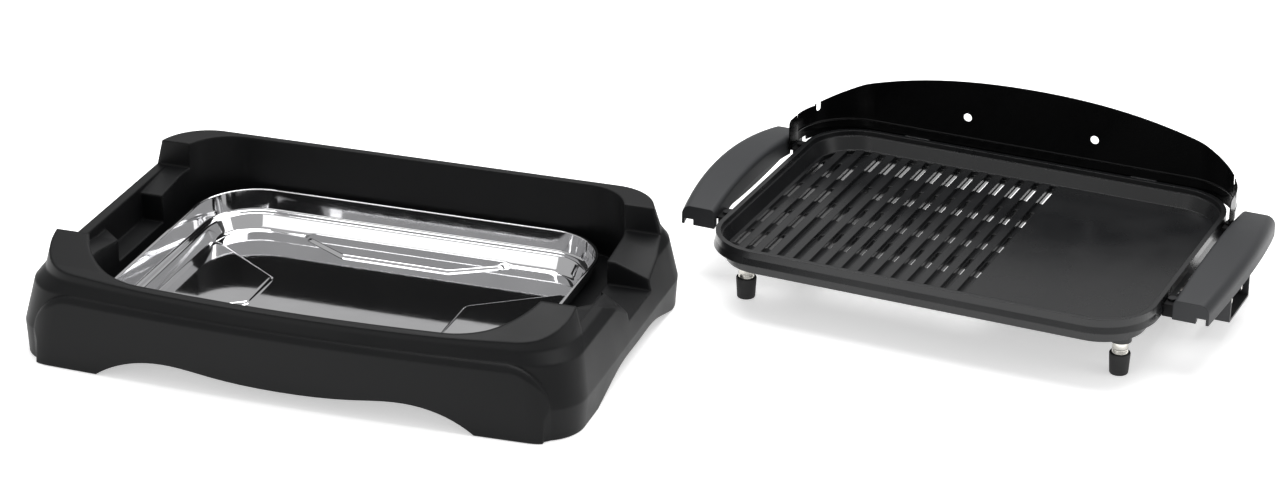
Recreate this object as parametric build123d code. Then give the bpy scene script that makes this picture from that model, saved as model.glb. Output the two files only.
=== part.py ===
from build123d import *
import os

# Electric table grill: a base with its drip tray, and a grill plate lifted out of it that stands beside it.
# The base's middle on the floor is the working origin. +X is right, -Y is the front, +Z is up. Millimetres.

# Overrun of cuts past the faces they start from, and clearances
OVERRUN = 3.0
SEAT_GAP = 0.3
FIT_GAP = 0.05

# Drip tray: outer size at the rim, then the steps of its wall from the rim inwards and downwards
TRAY_WIDTH = 385.0
TRAY_DEPTH = 278.0
TRAY_CORNER = 57.0
TRAY_SHEET = 0.8
TRAY_RIM_LIP = 3.0
TRAY_RIM_ROLL = 2.4
TRAY_UPPER_SLOPE = 7.0
TRAY_UPPER_HEIGHT = 19.0
TRAY_LEDGE = 6.0
TRAY_LEDGE_FALL = 0.6
TRAY_LOWER_SLOPE = 6.0
TRAY_LOWER_HEIGHT = 14.0
TRAY_BED_Z = 17.0
PANEL_RISE = 2.6
PANEL_SLOPE = 3.2
PANEL_CORNER = 9.0
LONG_PANEL_ROOT = 246.0
LONG_PANEL_TIP = 104.0
LONG_PANEL_REACH = 40.0
SIDE_PANEL_ROOT = 177.0
SIDE_PANEL_TIP = 56.0
SIDE_PANEL_REACH = 89.5

# Base: the well that takes the tray, and the walls round it at each height
BASE_WALL = 3.0
FLOOR_SHEET = 3.0
WELL_SHELF = 19.5
WELL_DEPTH_GAP = 4.0
WELL_FRONT_BOW = 9.0
WELL_FRONT_CORNER = 78.0
WELL_BACK_CORNER = 46.0
OUTER_CORNER = 46.0
SHOULDER_CORNER = 40.0
FOOT_CORNER = 36.0
TOWER_Z = 97.0
RIM_Z = 73.0
SHOULDER_Z = 64.0
BELLY_Z = 28.0
SIDE_TOP_WALL = 25.0
SIDE_RIM_WALL = 30.5
SIDE_SHOULDER_WALL = 36.5
SIDE_BELLY_WALL = 43.5
SIDE_FOOT_WALL = 41.0
BACK_TOP_WALL = 7.0
BACK_RIM_WALL = 12.0
BACK_SHOULDER_WALL = 15.0
BACK_BELLY_WALL = 18.0
BACK_FOOT_WALL = 19.0
FRONT_TOP_WALL = 5.5
FRONT_RIM_WALL = 9.0
FRONT_SHOULDER_WALL = 11.5
FRONT_BELLY_WALL = 14.5
FRONT_FOOT_WALL = 14.3
FRONT_BOW = 18.5
SHOULDER_BOW = 13.0
BELLY_BOW = 9.0
FOOT_BOW = 6.0

# Base top: two towers at the back, two at the front that slope down to the front rim
FRONT_RIM_Z = 78.0
FRONT_KNEE_Z = 82.5
FRONT_KNEE_RUN = 38.0
FRONT_SLOPE_RUN = 54.0
FRONT_TOWER_Y = 91.0
BACK_TOWER_Y = 112.5

# Base front: the raised panel over the apron
APRON_PROUD = 6.0
APRON_EDGE = 4.5
APRON_WIDTH = 470.0
APRON_CORNER = 40.0

# Base feet: arches between the corner feet, and the pads in the corners
FRONT_FOOT_GAP = 346.0
FRONT_ARCH_HEIGHT = 20.0
FRONT_ARCH_X_SHARES = (1.0, 0.9, 0.74, 0.58, 0.38)
FRONT_ARCH_Z_SHARES = (0.0, 0.5, 0.92, 1.0, 0.82)
FRONT_ARCH_MIDDLE_SHARE = 0.65
SIDE_FOOT_GAP = 204.0
SIDE_FOOT_SHIFT = 15.0
SIDE_ARCH_HEIGHT = 16.5
SIDE_ARCH_Y_SHARES = (1.0, 0.72, 0.44)
SIDE_ARCH_Z_SHARES = (0.0, 0.5, 0.95)
PAD_STAND = 0.8
PAD_DIAMETER = 14.0
PAD_HEIGHT = 3.0
PAD_POST = 20.0
PAD_INSET = 30.0

# Base side walls: a closed pocket on the left, an open plug notch on the right, and ramps beside them
POCKET_BACK_Y = 58.0
POCKET_FRONT_Y = 12.0
POCKET_SLANT = 18.0
POCKET_FLOOR_Z = 42.0
POCKET_LIP = 9.5
REAR_RAMP_FALL = 5.0
FRONT_RAMP_FALL = 10.0
NOTCH_FLOOR_Z = 45.0
NOTCH_REAR_FLAT = 7.0
NOTCH_REAR_FALL = 6.0
NOTCH_REAR_OUTER_FALL = 21.0
NOTCH_FRONT_FLAT = 19.0
NOTCH_FRONT_RUN = 38.0
NOTCH_FRONT_OUTER_FALL = 30.0
NOTCH_MOUTH_Y = 2.0

# Grill plate: outer rim, wall and floor
PLATE_WIDTH = 402.0
PLATE_DEPTH = 296.0
PLATE_CORNER = 50.0
PLATE_RIM_Z = 67.0
PLATE_LIP_HEIGHT = 6.0
PLATE_LIP_DROP = 7.0
PLATE_LIP_FLARE = 1.6
PLATE_LIP_WALL = 3.6
PLATE_UNDERCUT = 4.4
PLATE_RIM_WALL = 4.5
PLATE_STEP_DROP = 5.0
PLATE_STEP = 1.6
PLATE_WALL_SLOPE = 4.4
PLATE_DISH_DEPTH = 17.0
PLATE_FLOOR = 8.0
PLATE_UNDER_INSET = 9.0

# Ribs and slots of the plate's left part
RIB_PITCH = 15.3
GROOVE_WIDTH = 7.2
GROOVE_DEPTH = 4.0
GROOVE_COUNT = 15
GROOVE_MARGIN = 2.0
FIRST_GROOVE_SHARE = -0.457
SLOT_WIDTH = 5.6
SLOT_LENGTH = 35.0
EDGE_SLOT_COLUMNS = 3
EDGE_ROW_SHARES = (0.302, 0.117, -0.0885, -0.2635)
MAIN_ROW_SHARES = (0.398, 0.2065, 0.0103, -0.182)
SHORT_SLOT_SHARE = 0.42

# Heating element: a tube bent into an M, lying in an open channel under the plate
ELEMENT_DIAMETER = 8.0
ELEMENT_CHANNEL_WIDTH = 18.0
ELEMENT_CHANNEL_DEPTH = 8.5
ELEMENT_DROP = 3.5
ELEMENT_BACK_SHARE = 0.3075
ELEMENT_PITCH = 58.4
ELEMENT_LEFT_SHARE = -0.2587
ELEMENT_RIGHT_SHARE = 0.174
ELEMENT_TURN_INSET = 42.0
ELEMENT_TURN_RADIUS = 16.0
ELEMENT_OUT = 4.0

# Feet of the plate
FOOT_INSET_X = 28.0
FOOT_INSET_Y = 44.6
COLLAR_DIAMETER = 19.0
COLLAR_HEIGHT = 11.0
SLEEVE_DIAMETER = 14.0
SLEEVE_WALL = 1.4
SLEEVE_SEAT = 2.0
CAP_TOP_DIAMETER = 19.0
CAP_BOTTOM_DIAMETER = 16.4
CAP_HEIGHT = 20.0
CAP_FLOOR = 8.0
FOOT_SCREW_DIAMETER = 5.0
FOOT_SCREW_HEAD = 8.6
FOOT_SCREW_HEAD_HEIGHT = 3.0
FOOT_SCREW_GRIP = 7.0

# Windshield: a sheet behind the plate with an arched top and two wings, held in two clips
SHIELD_SHEET = 1.0
SHIELD_SIDE_GAP = 6.0
SHIELD_BOTTOM_DROP = 4.4
SHIELD_TOP_RISE = 67.0
SHIELD_SHOULDER_RISE = 44.0
SHIELD_SHOULDER_SHARE = 0.795
SHIELD_MIDDLE_RISE = 58.5
SHIELD_MIDDLE_SHARE = 0.51
SHIELD_END_RISE = 26.0
SHIELD_WING_RUN = 15.0
SHIELD_WING_FLARE = 2.8
SHIELD_WING_TOP_RISE = 27.5
SHIELD_WING_END_RISE = 25.0
SHIELD_WING_CLEAR = 3.0
SHIELD_WING_DROP = 0.5
SHIELD_WING_CORNER = 5.0
SHIELD_NOTCH_ANGLES = (58.0, 88.0)
SHIELD_NOTCH_WIDTHS = (5.0, 2.4)
SHIELD_NOTCH_DEPTH = 4.5
SHIELD_BACK_SHARE = 0.5
SHIELD_HOLE = 8.0
SHIELD_HOLE_X = 61.5
SHIELD_HOLE_RISE = 29.0
SHIELD_BEAD = 2.0
SHIELD_BEAD_RISE = 9.0
CLIP_X = 110.0
CLIP_WIDTH = 24.0
CLIP_SHEET = 1.2
CLIP_LEAF = 13.0
RIVET_DIAMETER = 3.0
RIVET_SPREAD = 12.0
RIVET_DEPTH = 2.5

# Handles: a hollow cover, arched along its length, over a lower grip
HANDLE_REACH = 10.6
HANDLE_WIDTH = 31.8
HANDLE_INNER_BOW = 2.4
HANDLE_OUTER_BOW = 8.8
HANDLE_LENGTH = 202.0
HANDLE_SHIFT = 13.0
HANDLE_RISE = 2.5
HANDLE_ARCH = 9.6
HANDLE_HEIGHT = 18.0
HANDLE_WALL = 3.0
HANDLE_OUTER_ROUND = 9.0
HANDLE_INNER_ROUND = 4.5
HANDLE_END_BLOCK = 5.0
HANDLE_END_SHARE = 0.65
HANDLE_END_WALL_SHARE = 0.7
GRIP_GAP = 1.8
GRIP_WIDTH = 15.0
GRIP_BELLY = 8.5
GRIP_RISE = 4.0

# Brackets between plate and handles: flat bars on ears of the plate
BRACKET_INSET = 16.2
BRACKET_WIDTH = 20.0
BRACKET_SHEET = 2.0
BRACKET_GAP = 1.0
BRACKET_HOLD = 16.0
BRACKET_DROP = 8.0
EAR_HEIGHT = 9.5
EAR_GAP = 1.0
SCREW_DIAMETER = 4.0
SCREW_HEAD = 7.5
SCREW_HEAD_HEIGHT = 2.2
SCREW_GRIP = 4.5
SCREW_BOSS = 9.0

# Inlet under the right handle
INLET_Y = 19.5
INLET_WIDTH = 58.0
INLET_HEIGHT = 28.0
INLET_DEPTH = 29.0
INLET_DROP = 19.5
INLET_WALL = 2.0
INLET_REACH = 11.0
PIN_SPREAD = 31.0
PIN_DIAMETER = 4.8
PIN_RECESS = 3.0
PIN_BEND = 3.0
PROBE_DIAMETER = 9.0
PROBE_BORE = 6.4
PROBE_RECESS = 14.0
PROBE_SEAT = 10.0
PROBE_BLOCK = 15.0
WINDOW_MARGIN = 7.0
WINDOW_HEIGHT = 11.0
FLANGE_SHEET = 3.0
FLANGE_MARGIN = 0.7
EARTH_SHEET = 0.8
EARTH_WIDTH = 40.0
EARTH_DEPTH = 12.0
TAB_WIDTH = 12.0
TAB_OFFSET = 32.0
TAB_SHEET = 2.0
TAB_SEAT = 11.0
TAB_PAD_HEIGHT = 6.0
PIN_HOLE = 9.0
INLET_SCREW = 3.0
INLET_SCREW_HEAD = 5.2

# Where the plate stands: beside the base and behind its back edge, turned a little
STAND_SIDE_GAP = 33.5
STAND_BACK = 83.6
STAND_YAW = -6.7

# Sizes that follow from the values above: tray and base
TRAY_FLOOR_Z = TRAY_BED_Z + TRAY_SHEET
TRAY_LEDGE_Z = TRAY_FLOOR_Z + TRAY_LOWER_HEIGHT
TRAY_RIM_Z = TRAY_LEDGE_Z + TRAY_LEDGE_FALL + TRAY_UPPER_HEIGHT
LEDGE_INSET = TRAY_UPPER_SLOPE + TRAY_LEDGE
WELL_X = TRAY_WIDTH / 2 + WELL_SHELF
WELL_Y = TRAY_DEPTH / 2 + WELL_DEPTH_GAP
SHELF_Z = TRAY_LEDGE_Z - TRAY_SHEET - SEAT_GAP
TUB_INSET = LEDGE_INSET - TRAY_SHEET - SEAT_GAP
TUB_Z = TRAY_BED_Z - SEAT_GAP
BASE_X = WELL_X + SIDE_BELLY_WALL
BASE_Y = WELL_Y + BACK_FOOT_WALL
LIP_X = WELL_X + SIDE_RIM_WALL - POCKET_LIP
ABOVE_Z = TOWER_Z + OVERRUN

# Sizes that follow from the values above: plate
PLATE_X = PLATE_WIDTH / 2
PLATE_Y = PLATE_DEPTH / 2
LIP_TOP_Z = PLATE_RIM_Z - PLATE_LIP_DROP
LIP_BOTTOM_Z = LIP_TOP_Z - PLATE_LIP_HEIGHT
COOK_Z = PLATE_RIM_Z - PLATE_DISH_DEPTH
UNDER_Z = COOK_Z - PLATE_FLOOR
COOK_INSET = PLATE_RIM_WALL + PLATE_STEP + PLATE_WALL_SLOPE
UNDER_X = PLATE_X - PLATE_UNDER_INSET
ELEMENT_Z = UNDER_Z - ELEMENT_DROP
FOOT_X = PLATE_X - FOOT_INSET_X
FOOT_Y = PLATE_Y - FOOT_INSET_Y
COLLAR_Z = UNDER_Z - COLLAR_HEIGHT
SLEEVE_TOP_Z = COLLAR_Z + SLEEVE_SEAT
SHIELD_Y = PLATE_Y + CLIP_SHEET + SEAT_GAP
SHIELD_X = PLATE_X + SHIELD_SIDE_GAP
SHIELD_BEND_RADIUS = PLATE_CORNER + SHIELD_SIDE_GAP
SHIELD_WING = SHIELD_BEND_RADIUS + SHIELD_WING_RUN
SHIELD_BOTTOM_Z = PLATE_RIM_Z - SHIELD_BOTTOM_DROP
CLIP_Z = SHIELD_BOTTOM_Z - SEAT_GAP - CLIP_SHEET
RIVET_Z = (CLIP_Z + CLIP_SHEET + PLATE_RIM_Z) / 2
HANDLE_X = PLATE_X + HANDLE_REACH
HANDLE_Z = PLATE_RIM_Z + HANDLE_RISE
BRACKET_Z = HANDLE_Z - BRACKET_DROP
BRACKET_START = PLATE_X + BRACKET_GAP
BRACKET_END = HANDLE_X + BRACKET_HOLD
EAR_END = HANDLE_X - EAR_GAP
EAR_SCREW_X = (BRACKET_START + EAR_END) / 2
HANDLE_SCREW_X = BRACKET_END - BRACKET_HOLD / 2
INLET_X = PLATE_X + INLET_REACH
INLET_TOP_Z = PLATE_RIM_Z - INLET_DROP
PIN_Z = INLET_TOP_Z - INLET_HEIGHT / 2
PIN_YS = (INLET_Y - PIN_SPREAD / 2, INLET_Y + PIN_SPREAD / 2)
ELEMENT_END_X = UNDER_X + ELEMENT_OUT
TAB_Z = UNDER_Z - TAB_PAD_HEIGHT
TAB_YS = (INLET_Y - TAB_OFFSET, INLET_Y + TAB_OFFSET)
TAB_START = UNDER_X - TAB_SEAT
TAB_SCREW_X = UNDER_X - TAB_SEAT / 2
SCREW_HOLE = SCREW_DIAMETER + 2 * FIT_GAP


# Shared shapes
def lofted(lower, lower_z, upper, upper_z):
    """A straight-sided solid between two level outlines."""
    return loft([Pos(0, 0, lower_z) * lower, Pos(0, 0, upper_z) * upper], ruled=True)


def block(low, high):
    """A box between two opposite corners."""
    size = [b - a for a, b in zip(low, high)]
    middle = [(a + b) / 2 for a, b in zip(low, high)]
    return Pos(*middle) * Box(*size)


def drum(x, y, bottom, top, diameter):
    """An upright cylinder between two heights."""
    return Pos(x, y, (bottom + top) / 2) * Cylinder(diameter / 2, top - bottom)


def rod_x(start, end, y, z, diameter):
    """A cylinder along X between two places."""
    return Pos((start + end) / 2, y, z) * Rot(0, 90, 0) * Cylinder(diameter / 2, end - start)


def rod_y(x, z, start, end, diameter):
    """A cylinder along Y between two places."""
    return Pos(x, (start + end) / 2, z) * Rot(90, 0, 0) * Cylinder(diameter / 2, end - start)


def prism_x(points, start, end):
    """An outline given in (y, z), drawn out along X."""
    face = make_face(Polyline(*[(0, y, z) for y, z in points], close=True))
    return Pos(start, 0, 0) * extrude(face, end - start, dir=(1, 0, 0))


def together(solids):
    """Several separate solids kept as one group."""
    return Part() + solids


def mirrored(shape):
    """The left-hand copy of a right-hand shape."""
    return mirror(shape, about=Plane.YZ)


def bowed_outline(half_width, front, bow, back, front_corner, back_corner):
    """A level outline with a bowed front edge, straight sides and rounded corners."""
    front_edge = ThreePointArc((-half_width, front + bow), (0, front), (half_width, front + bow))
    right_edge = Line((half_width, front + bow), (half_width, back))
    back_edge = Line((half_width, back), (-half_width, back))
    left_edge = Line((-half_width, back), (-half_width, front + bow))
    face = make_face([front_edge, right_edge, back_edge, left_edge])
    face = fillet(face.vertices().group_by(Axis.Y)[0], front_corner)
    return fillet(face.vertices().group_by(Axis.Y)[-1], back_corner)


# Drip tray
def tray_outline(inset):
    """The tray's level outline, set inwards from its rim."""
    return RectangleRounded(TRAY_WIDTH - 2 * inset, TRAY_DEPTH - 2 * inset, TRAY_CORNER - inset)


def tray_hollow(sheet):
    """The space inside the tray. Grown by its sheet it is the tray's outer side."""
    floor = tray_outline(LEDGE_INSET + TRAY_LOWER_SLOPE - sheet)
    ledge_inner = tray_outline(LEDGE_INSET - sheet)
    ledge_outer = tray_outline(TRAY_UPPER_SLOPE - sheet)
    rim = tray_outline(TRAY_RIM_LIP - sheet)
    ledge_z = TRAY_LEDGE_Z - sheet
    lower = lofted(floor, TRAY_FLOOR_Z - sheet, ledge_inner, ledge_z)
    ledge = lofted(ledge_inner, ledge_z, ledge_outer, ledge_z + TRAY_LEDGE_FALL)
    upper = lofted(ledge_outer, ledge_z + TRAY_LEDGE_FALL, rim, TRAY_RIM_Z)
    return lower + ledge + upper


def raised_panel(root, tip, reach):
    """A low trapezoid hill whose wide end lies on the X axis and whose narrow end points to -Y."""
    points = [(-root / 2, 0), (root / 2, 0), (tip / 2, -reach), (-tip / 2, -reach)]
    foot = make_face(Polyline(*points, close=True))
    foot = fillet(foot.vertices(), PANEL_CORNER)
    top = offset(foot, -PANEL_SLOPE)
    return lofted(foot, TRAY_FLOOR_Z, top, TRAY_FLOOR_Z + PANEL_RISE)


def tray_panels():
    """The four hills pressed into the tray's floor, one at each wall."""
    long_panel = raised_panel(LONG_PANEL_ROOT, LONG_PANEL_TIP, LONG_PANEL_REACH)
    side_panel = raised_panel(SIDE_PANEL_ROOT, SIDE_PANEL_TIP, SIDE_PANEL_REACH)
    long_y = TRAY_DEPTH / 2 - LEDGE_INSET
    side_x = TRAY_WIDTH / 2 - LEDGE_INSET
    panels = [
        Pos(0, long_y, 0) * long_panel,
        Pos(0, -long_y, 0) * Rot(0, 0, 180) * long_panel,
        Pos(-side_x, 0, 0) * Rot(0, 0, 90) * side_panel,
        Pos(side_x, 0, 0) * Rot(0, 0, -90) * side_panel,
    ]
    return together(panels)


def drip_tray():
    """The pressed sheet tray with a flat turned-over rim."""
    hollow = tray_hollow(0)
    tray = tray_hollow(TRAY_SHEET) - hollow
    flange = tray_outline(0) - tray_outline(TRAY_RIM_LIP)
    roll = tray_outline(0) - tray_outline(TRAY_SHEET)
    tray += extrude(Pos(0, 0, TRAY_RIM_Z - TRAY_SHEET) * flange, TRAY_SHEET)
    tray += extrude(Pos(0, 0, TRAY_RIM_Z - TRAY_RIM_ROLL) * roll, TRAY_RIM_ROLL)
    pressed = tray_panels() & hollow
    tray += pressed
    return tray - Pos(0, 0, -TRAY_SHEET) * pressed


# Base
def base_level(side_wall, front_wall, back_wall, bow, corner):
    """The base's outline at one height, from its walls round the well and its front edge."""
    return bowed_outline(
        WELL_X + side_wall, -WELL_Y - front_wall, bow, WELL_Y + back_wall, corner, OUTER_CORNER
    )


def foot_level(out):
    """The outline at the floor, with its front moved out."""
    front = FRONT_FOOT_WALL + out
    return base_level(SIDE_FOOT_WALL, front, BACK_FOOT_WALL, FOOT_BOW, FOOT_CORNER)


def shoulder_level(out):
    """The outline at the shoulder, with its front moved out."""
    front = FRONT_SHOULDER_WALL + out
    return base_level(SIDE_SHOULDER_WALL, front, BACK_SHOULDER_WALL, SHOULDER_BOW, SHOULDER_CORNER)


def base_skirt():
    """The lower part, which flares to a belly."""
    belly = base_level(SIDE_BELLY_WALL, FRONT_BELLY_WALL, BACK_BELLY_WALL, BELLY_BOW, FOOT_CORNER)
    lower = lofted(foot_level(0), PAD_STAND, belly, BELLY_Z)
    return lower + lofted(belly, BELLY_Z, shoulder_level(0), SHOULDER_Z)


def base_upper():
    """The shoulder, the rim and the towers, before the saddles are cut."""
    rim = base_level(SIDE_RIM_WALL, FRONT_RIM_WALL, BACK_RIM_WALL, FRONT_BOW, OUTER_CORNER)
    top = base_level(SIDE_TOP_WALL, FRONT_TOP_WALL, BACK_TOP_WALL, FRONT_BOW, OUTER_CORNER)
    return lofted(shoulder_level(0), SHOULDER_Z, rim, RIM_Z) + lofted(rim, RIM_Z, top, TOWER_Z)


def apron_skirt():
    """The proud front of the lower part, with a sloped upper edge."""
    edge = shoulder_level(APRON_PROUD)
    edge_z = SHOULDER_Z - APRON_EDGE
    lower = lofted(foot_level(APRON_PROUD), PAD_STAND, edge, edge_z)
    return lower + lofted(edge, edge_z, shoulder_level(APRON_PROUD - APRON_EDGE), SHOULDER_Z)


def apron_outline(y, inset):
    """The panel's upright outline at one depth, set inwards, with rounded upper corners."""
    height = SHOULDER_Z - inset
    face = Pos(0, height / 2) * Rectangle(APRON_WIDTH - 2 * inset, height)
    face = fillet(face.vertices().group_by(Axis.Y)[-1], APRON_CORNER - inset)
    return Pos(0, y, 0) * (Plane.XZ * face)


def apron():
    """The raised panel on the base's front, with rounded upper corners and sloped edges."""
    straight = APRON_WIDTH / 2 - APRON_CORNER
    bow = SHOULDER_BOW * (straight / (WELL_X + SIDE_SHOULDER_WALL)) ** 2
    front = -WELL_Y - FRONT_SHOULDER_WALL - APRON_PROUD + bow
    outer = apron_outline(front + APRON_EDGE, 0)
    inner = apron_outline(front, APRON_EDGE)
    mask = extrude(outer, APRON_WIDTH / 2, dir=(0, 1, 0)) + loft([outer, inner], ruled=True)
    mask += extrude(inner, APRON_PROUD + SHOULDER_BOW, dir=(0, -1, 0))
    mask += block((-straight, -BASE_Y - APRON_PROUD, 0), (straight, 0, SHOULDER_Z))
    mask -= block((-BASE_X, -WELL_Y + FRONT_BOW, 0), (BASE_X, BASE_Y, ABOVE_Z))
    return mask & apron_skirt()


def front_slope():
    """What is cut from the base's top towards the front: a slope from the towers to the front rim."""
    points = [
        (-FRONT_TOWER_Y, ABOVE_Z),
        (-FRONT_TOWER_Y, TOWER_Z),
        (-FRONT_TOWER_Y - FRONT_KNEE_RUN, FRONT_KNEE_Z),
        (-FRONT_TOWER_Y - FRONT_SLOPE_RUN, FRONT_RIM_Z),
        (-BASE_Y - OVERRUN, FRONT_RIM_Z),
        (-BASE_Y - OVERRUN, ABOVE_Z),
    ]
    return prism_x(points, -BASE_X, BASE_X)


def well():
    """The hollow of the base: wide above the shelf, and fitted to the tray below it."""
    upper = bowed_outline(WELL_X, -WELL_Y, WELL_FRONT_BOW, WELL_Y, WELL_FRONT_CORNER, WELL_BACK_CORNER)
    hollow = extrude(Pos(0, 0, SHELF_Z) * upper, TOWER_Z)
    return hollow + extrude(Pos(0, 0, TUB_Z) * tray_outline(TUB_INSET), TOWER_Z)


def front_ramp():
    """The cut over the block in front of the right notch. Mirrored, it lies in front of the left pocket."""
    above = RIM_Z + OVERRUN
    points = [
        (-FRONT_TOWER_Y, above),
        (-FRONT_TOWER_Y, RIM_Z),
        (-POCKET_FRONT_Y - POCKET_SLANT, RIM_Z - FRONT_RAMP_FALL),
        (-POCKET_FRONT_Y, RIM_Z - FRONT_RAMP_FALL),
        (-POCKET_FRONT_Y, above),
    ]
    return prism_x(points, WELL_X - OVERRUN, LIP_X)


def left_saddle():
    """The ramps and the closed pocket of the left wall, drawn on the right."""
    above = RIM_Z + OVERRUN
    points = [
        (BACK_TOWER_Y, above),
        (BACK_TOWER_Y, RIM_Z),
        (POCKET_BACK_Y, RIM_Z - REAR_RAMP_FALL),
        (POCKET_BACK_Y, above),
    ]
    rear_ramp = prism_x(points, WELL_X - OVERRUN, LIP_X)
    outline = [
        (WELL_X - OVERRUN, POCKET_BACK_Y),
        (WELL_X - OVERRUN, -POCKET_FRONT_Y - POCKET_SLANT),
        (WELL_X, -POCKET_FRONT_Y - POCKET_SLANT),
        (LIP_X, -POCKET_FRONT_Y),
        (LIP_X, POCKET_BACK_Y),
    ]
    pocket = extrude(Pos(0, 0, POCKET_FLOOR_Z) * make_face(Polyline(*outline, close=True)), TOWER_Z)
    return rear_ramp + front_ramp() + pocket


def ramp_section(y, flat, inner_fall, outer_fall):
    """One upright section of the cut over a ramp that falls outwards past a flat part."""
    outer_x = BASE_X + OVERRUN
    above = RIM_Z + OVERRUN
    points = [
        (WELL_X - OVERRUN, y, above),
        (WELL_X - OVERRUN, y, RIM_Z - inner_fall),
        (WELL_X + flat, y, RIM_Z - inner_fall),
        (outer_x, y, RIM_Z - outer_fall),
        (outer_x, y, above),
    ]
    return make_face(Polyline(*points, close=True))


def right_saddle():
    """The ramps and the open plug notch of the right wall."""
    rear = loft(
        [
            ramp_section(BACK_TOWER_Y, NOTCH_REAR_FLAT, 0, 0),
            ramp_section(POCKET_BACK_Y, NOTCH_REAR_FLAT, NOTCH_REAR_FALL, NOTCH_REAR_OUTER_FALL),
        ],
        ruled=True,
    )
    front = loft(
        [
            ramp_section(-NOTCH_MOUTH_Y - NOTCH_FRONT_RUN, NOTCH_FRONT_FLAT, 0, 0),
            ramp_section(-NOTCH_MOUTH_Y, NOTCH_FRONT_FLAT, 0, NOTCH_FRONT_OUTER_FALL),
        ],
        ruled=True,
    )
    outline = [
        (WELL_X - OVERRUN, POCKET_BACK_Y),
        (WELL_X - OVERRUN, -POCKET_FRONT_Y - POCKET_SLANT),
        (WELL_X, -POCKET_FRONT_Y - POCKET_SLANT),
        (WELL_X + NOTCH_FRONT_FLAT, -POCKET_FRONT_Y),
        (WELL_X + SIDE_SHOULDER_WALL, -NOTCH_MOUTH_Y),
        (BASE_X + OVERRUN, -NOTCH_MOUTH_Y),
        (BASE_X + OVERRUN, POCKET_BACK_Y),
    ]
    notch = extrude(Pos(0, 0, NOTCH_FLOOR_Z) * make_face(Polyline(*outline, close=True)), TOWER_Z)
    return rear + front + front_ramp() + notch


def front_arch():
    """The space under the base's front and back edges, with a low middle."""
    half = FRONT_FOOT_GAP / 2
    left = [(-half * x, FRONT_ARCH_HEIGHT * z) for x, z in zip(FRONT_ARCH_X_SHARES, FRONT_ARCH_Z_SHARES)]
    right = [(-x, z) for x, z in reversed(left)]
    curve = Spline(*left, (0, FRONT_ARCH_HEIGHT * FRONT_ARCH_MIDDLE_SHARE), *right)
    closing = Polyline((half, 0), (half, -OVERRUN), (-half, -OVERRUN), (-half, 0))
    arch = extrude(Plane.XZ * make_face([curve, closing]), 2 * BASE_Y, both=True)
    tub_y = TRAY_DEPTH / 2 - TUB_INSET + BASE_WALL
    return arch - block((-BASE_X, -tub_y, -OVERRUN), (BASE_X, tub_y, TOWER_Z))


def side_arch():
    """The space under the base's side edges."""
    half = SIDE_FOOT_GAP / 2
    front = [(-half * y, SIDE_ARCH_HEIGHT * z) for y, z in zip(SIDE_ARCH_Y_SHARES, SIDE_ARCH_Z_SHARES)]
    back = [(-y, z) for y, z in reversed(front)]
    curve = Spline(*front, (0, SIDE_ARCH_HEIGHT), *back)
    closing = Polyline((half, 0), (half, -OVERRUN), (-half, -OVERRUN), (-half, 0))
    face = Pos(0, SIDE_FOOT_SHIFT, 0) * (Plane.YZ * make_face([curve, closing]))
    tub_x = TRAY_WIDTH / 2 - TUB_INSET + BASE_WALL
    tub = block((-tub_x, -BASE_Y, -OVERRUN), (tub_x, BASE_Y, TOWER_Z))
    return extrude(face, 2 * BASE_X, both=True) - tub


def underside():
    """The hollow below: inside the skirt, round the tub and under its floor."""
    side = SIDE_FOOT_WALL - BASE_WALL
    foot_front = FRONT_FOOT_WALL - BASE_WALL
    top_front = FRONT_SHOULDER_WALL - BASE_WALL
    foot = base_level(side, foot_front, BACK_FOOT_WALL - BASE_WALL, FOOT_BOW, FOOT_CORNER)
    top = base_level(side, top_front, BACK_BELLY_WALL - BASE_WALL, SHOULDER_BOW, SHOULDER_CORNER)
    hollow = lofted(foot, 0, top, SHELF_Z - FLOOR_SHEET)
    return hollow - extrude(Pos(0, 0, TUB_Z - FLOOR_SHEET) * tray_outline(TUB_INSET - BASE_WALL), TOWER_Z)


def wall_hollows():
    """The hollows in the side walls, open below."""
    bottom = SHELF_Z - FLOOR_SHEET - OVERRUN
    inner = WELL_X + BASE_WALL
    outer = WELL_X + SIDE_TOP_WALL - BASE_WALL
    slant_y = -POCKET_FRONT_Y - POCKET_SLANT
    low_z = RIM_Z - NOTCH_FRONT_OUTER_FALL - BASE_WALL
    stretches = [
        (-FRONT_TOWER_Y + BASE_WALL, slant_y - BASE_WALL, low_z),
        (slant_y, POCKET_BACK_Y, POCKET_FLOOR_Z - BASE_WALL),
        (POCKET_BACK_Y + BASE_WALL, BACK_TOWER_Y - BASE_WALL, low_z),
    ]
    hollows = []
    for start, end, top in stretches:
        hollows.append(block((inner, start, bottom), (outer, end, top)))
        hollows.append(block((-outer, start, bottom), (-inner, end, top)))
    return hollows


def pad_places():
    """The middles of the base's four foot pads."""
    x = WELL_X + SIDE_FOOT_WALL - PAD_INSET
    front = -WELL_Y - FRONT_SHOULDER_WALL + SHOULDER_BOW + PAD_INSET / 2
    back = BASE_Y - PAD_INSET
    return [(-x, front), (x, front), (-x, back), (x, back)]


def base_frame():
    """The moulded base."""
    body = base_skirt() + base_upper() + apron()
    body -= front_slope()
    body -= block((-BASE_X, -FRONT_TOWER_Y, RIM_Z), (BASE_X, BACK_TOWER_Y, ABOVE_Z))
    body -= mirrored(left_saddle())
    body -= right_saddle()
    body -= well()
    body -= underside()
    body -= wall_hollows()
    body -= front_arch()
    body -= side_arch()
    posts = [drum(x, y, PAD_HEIGHT, SHELF_Z - FLOOR_SHEET / 2, PAD_POST) for x, y in pad_places()]
    return body + posts


def base_foot_pads():
    """Four rubber pads under the base."""
    return together([drum(x, y, 0, PAD_HEIGHT, PAD_DIAMETER) for x, y in pad_places()])


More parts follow.
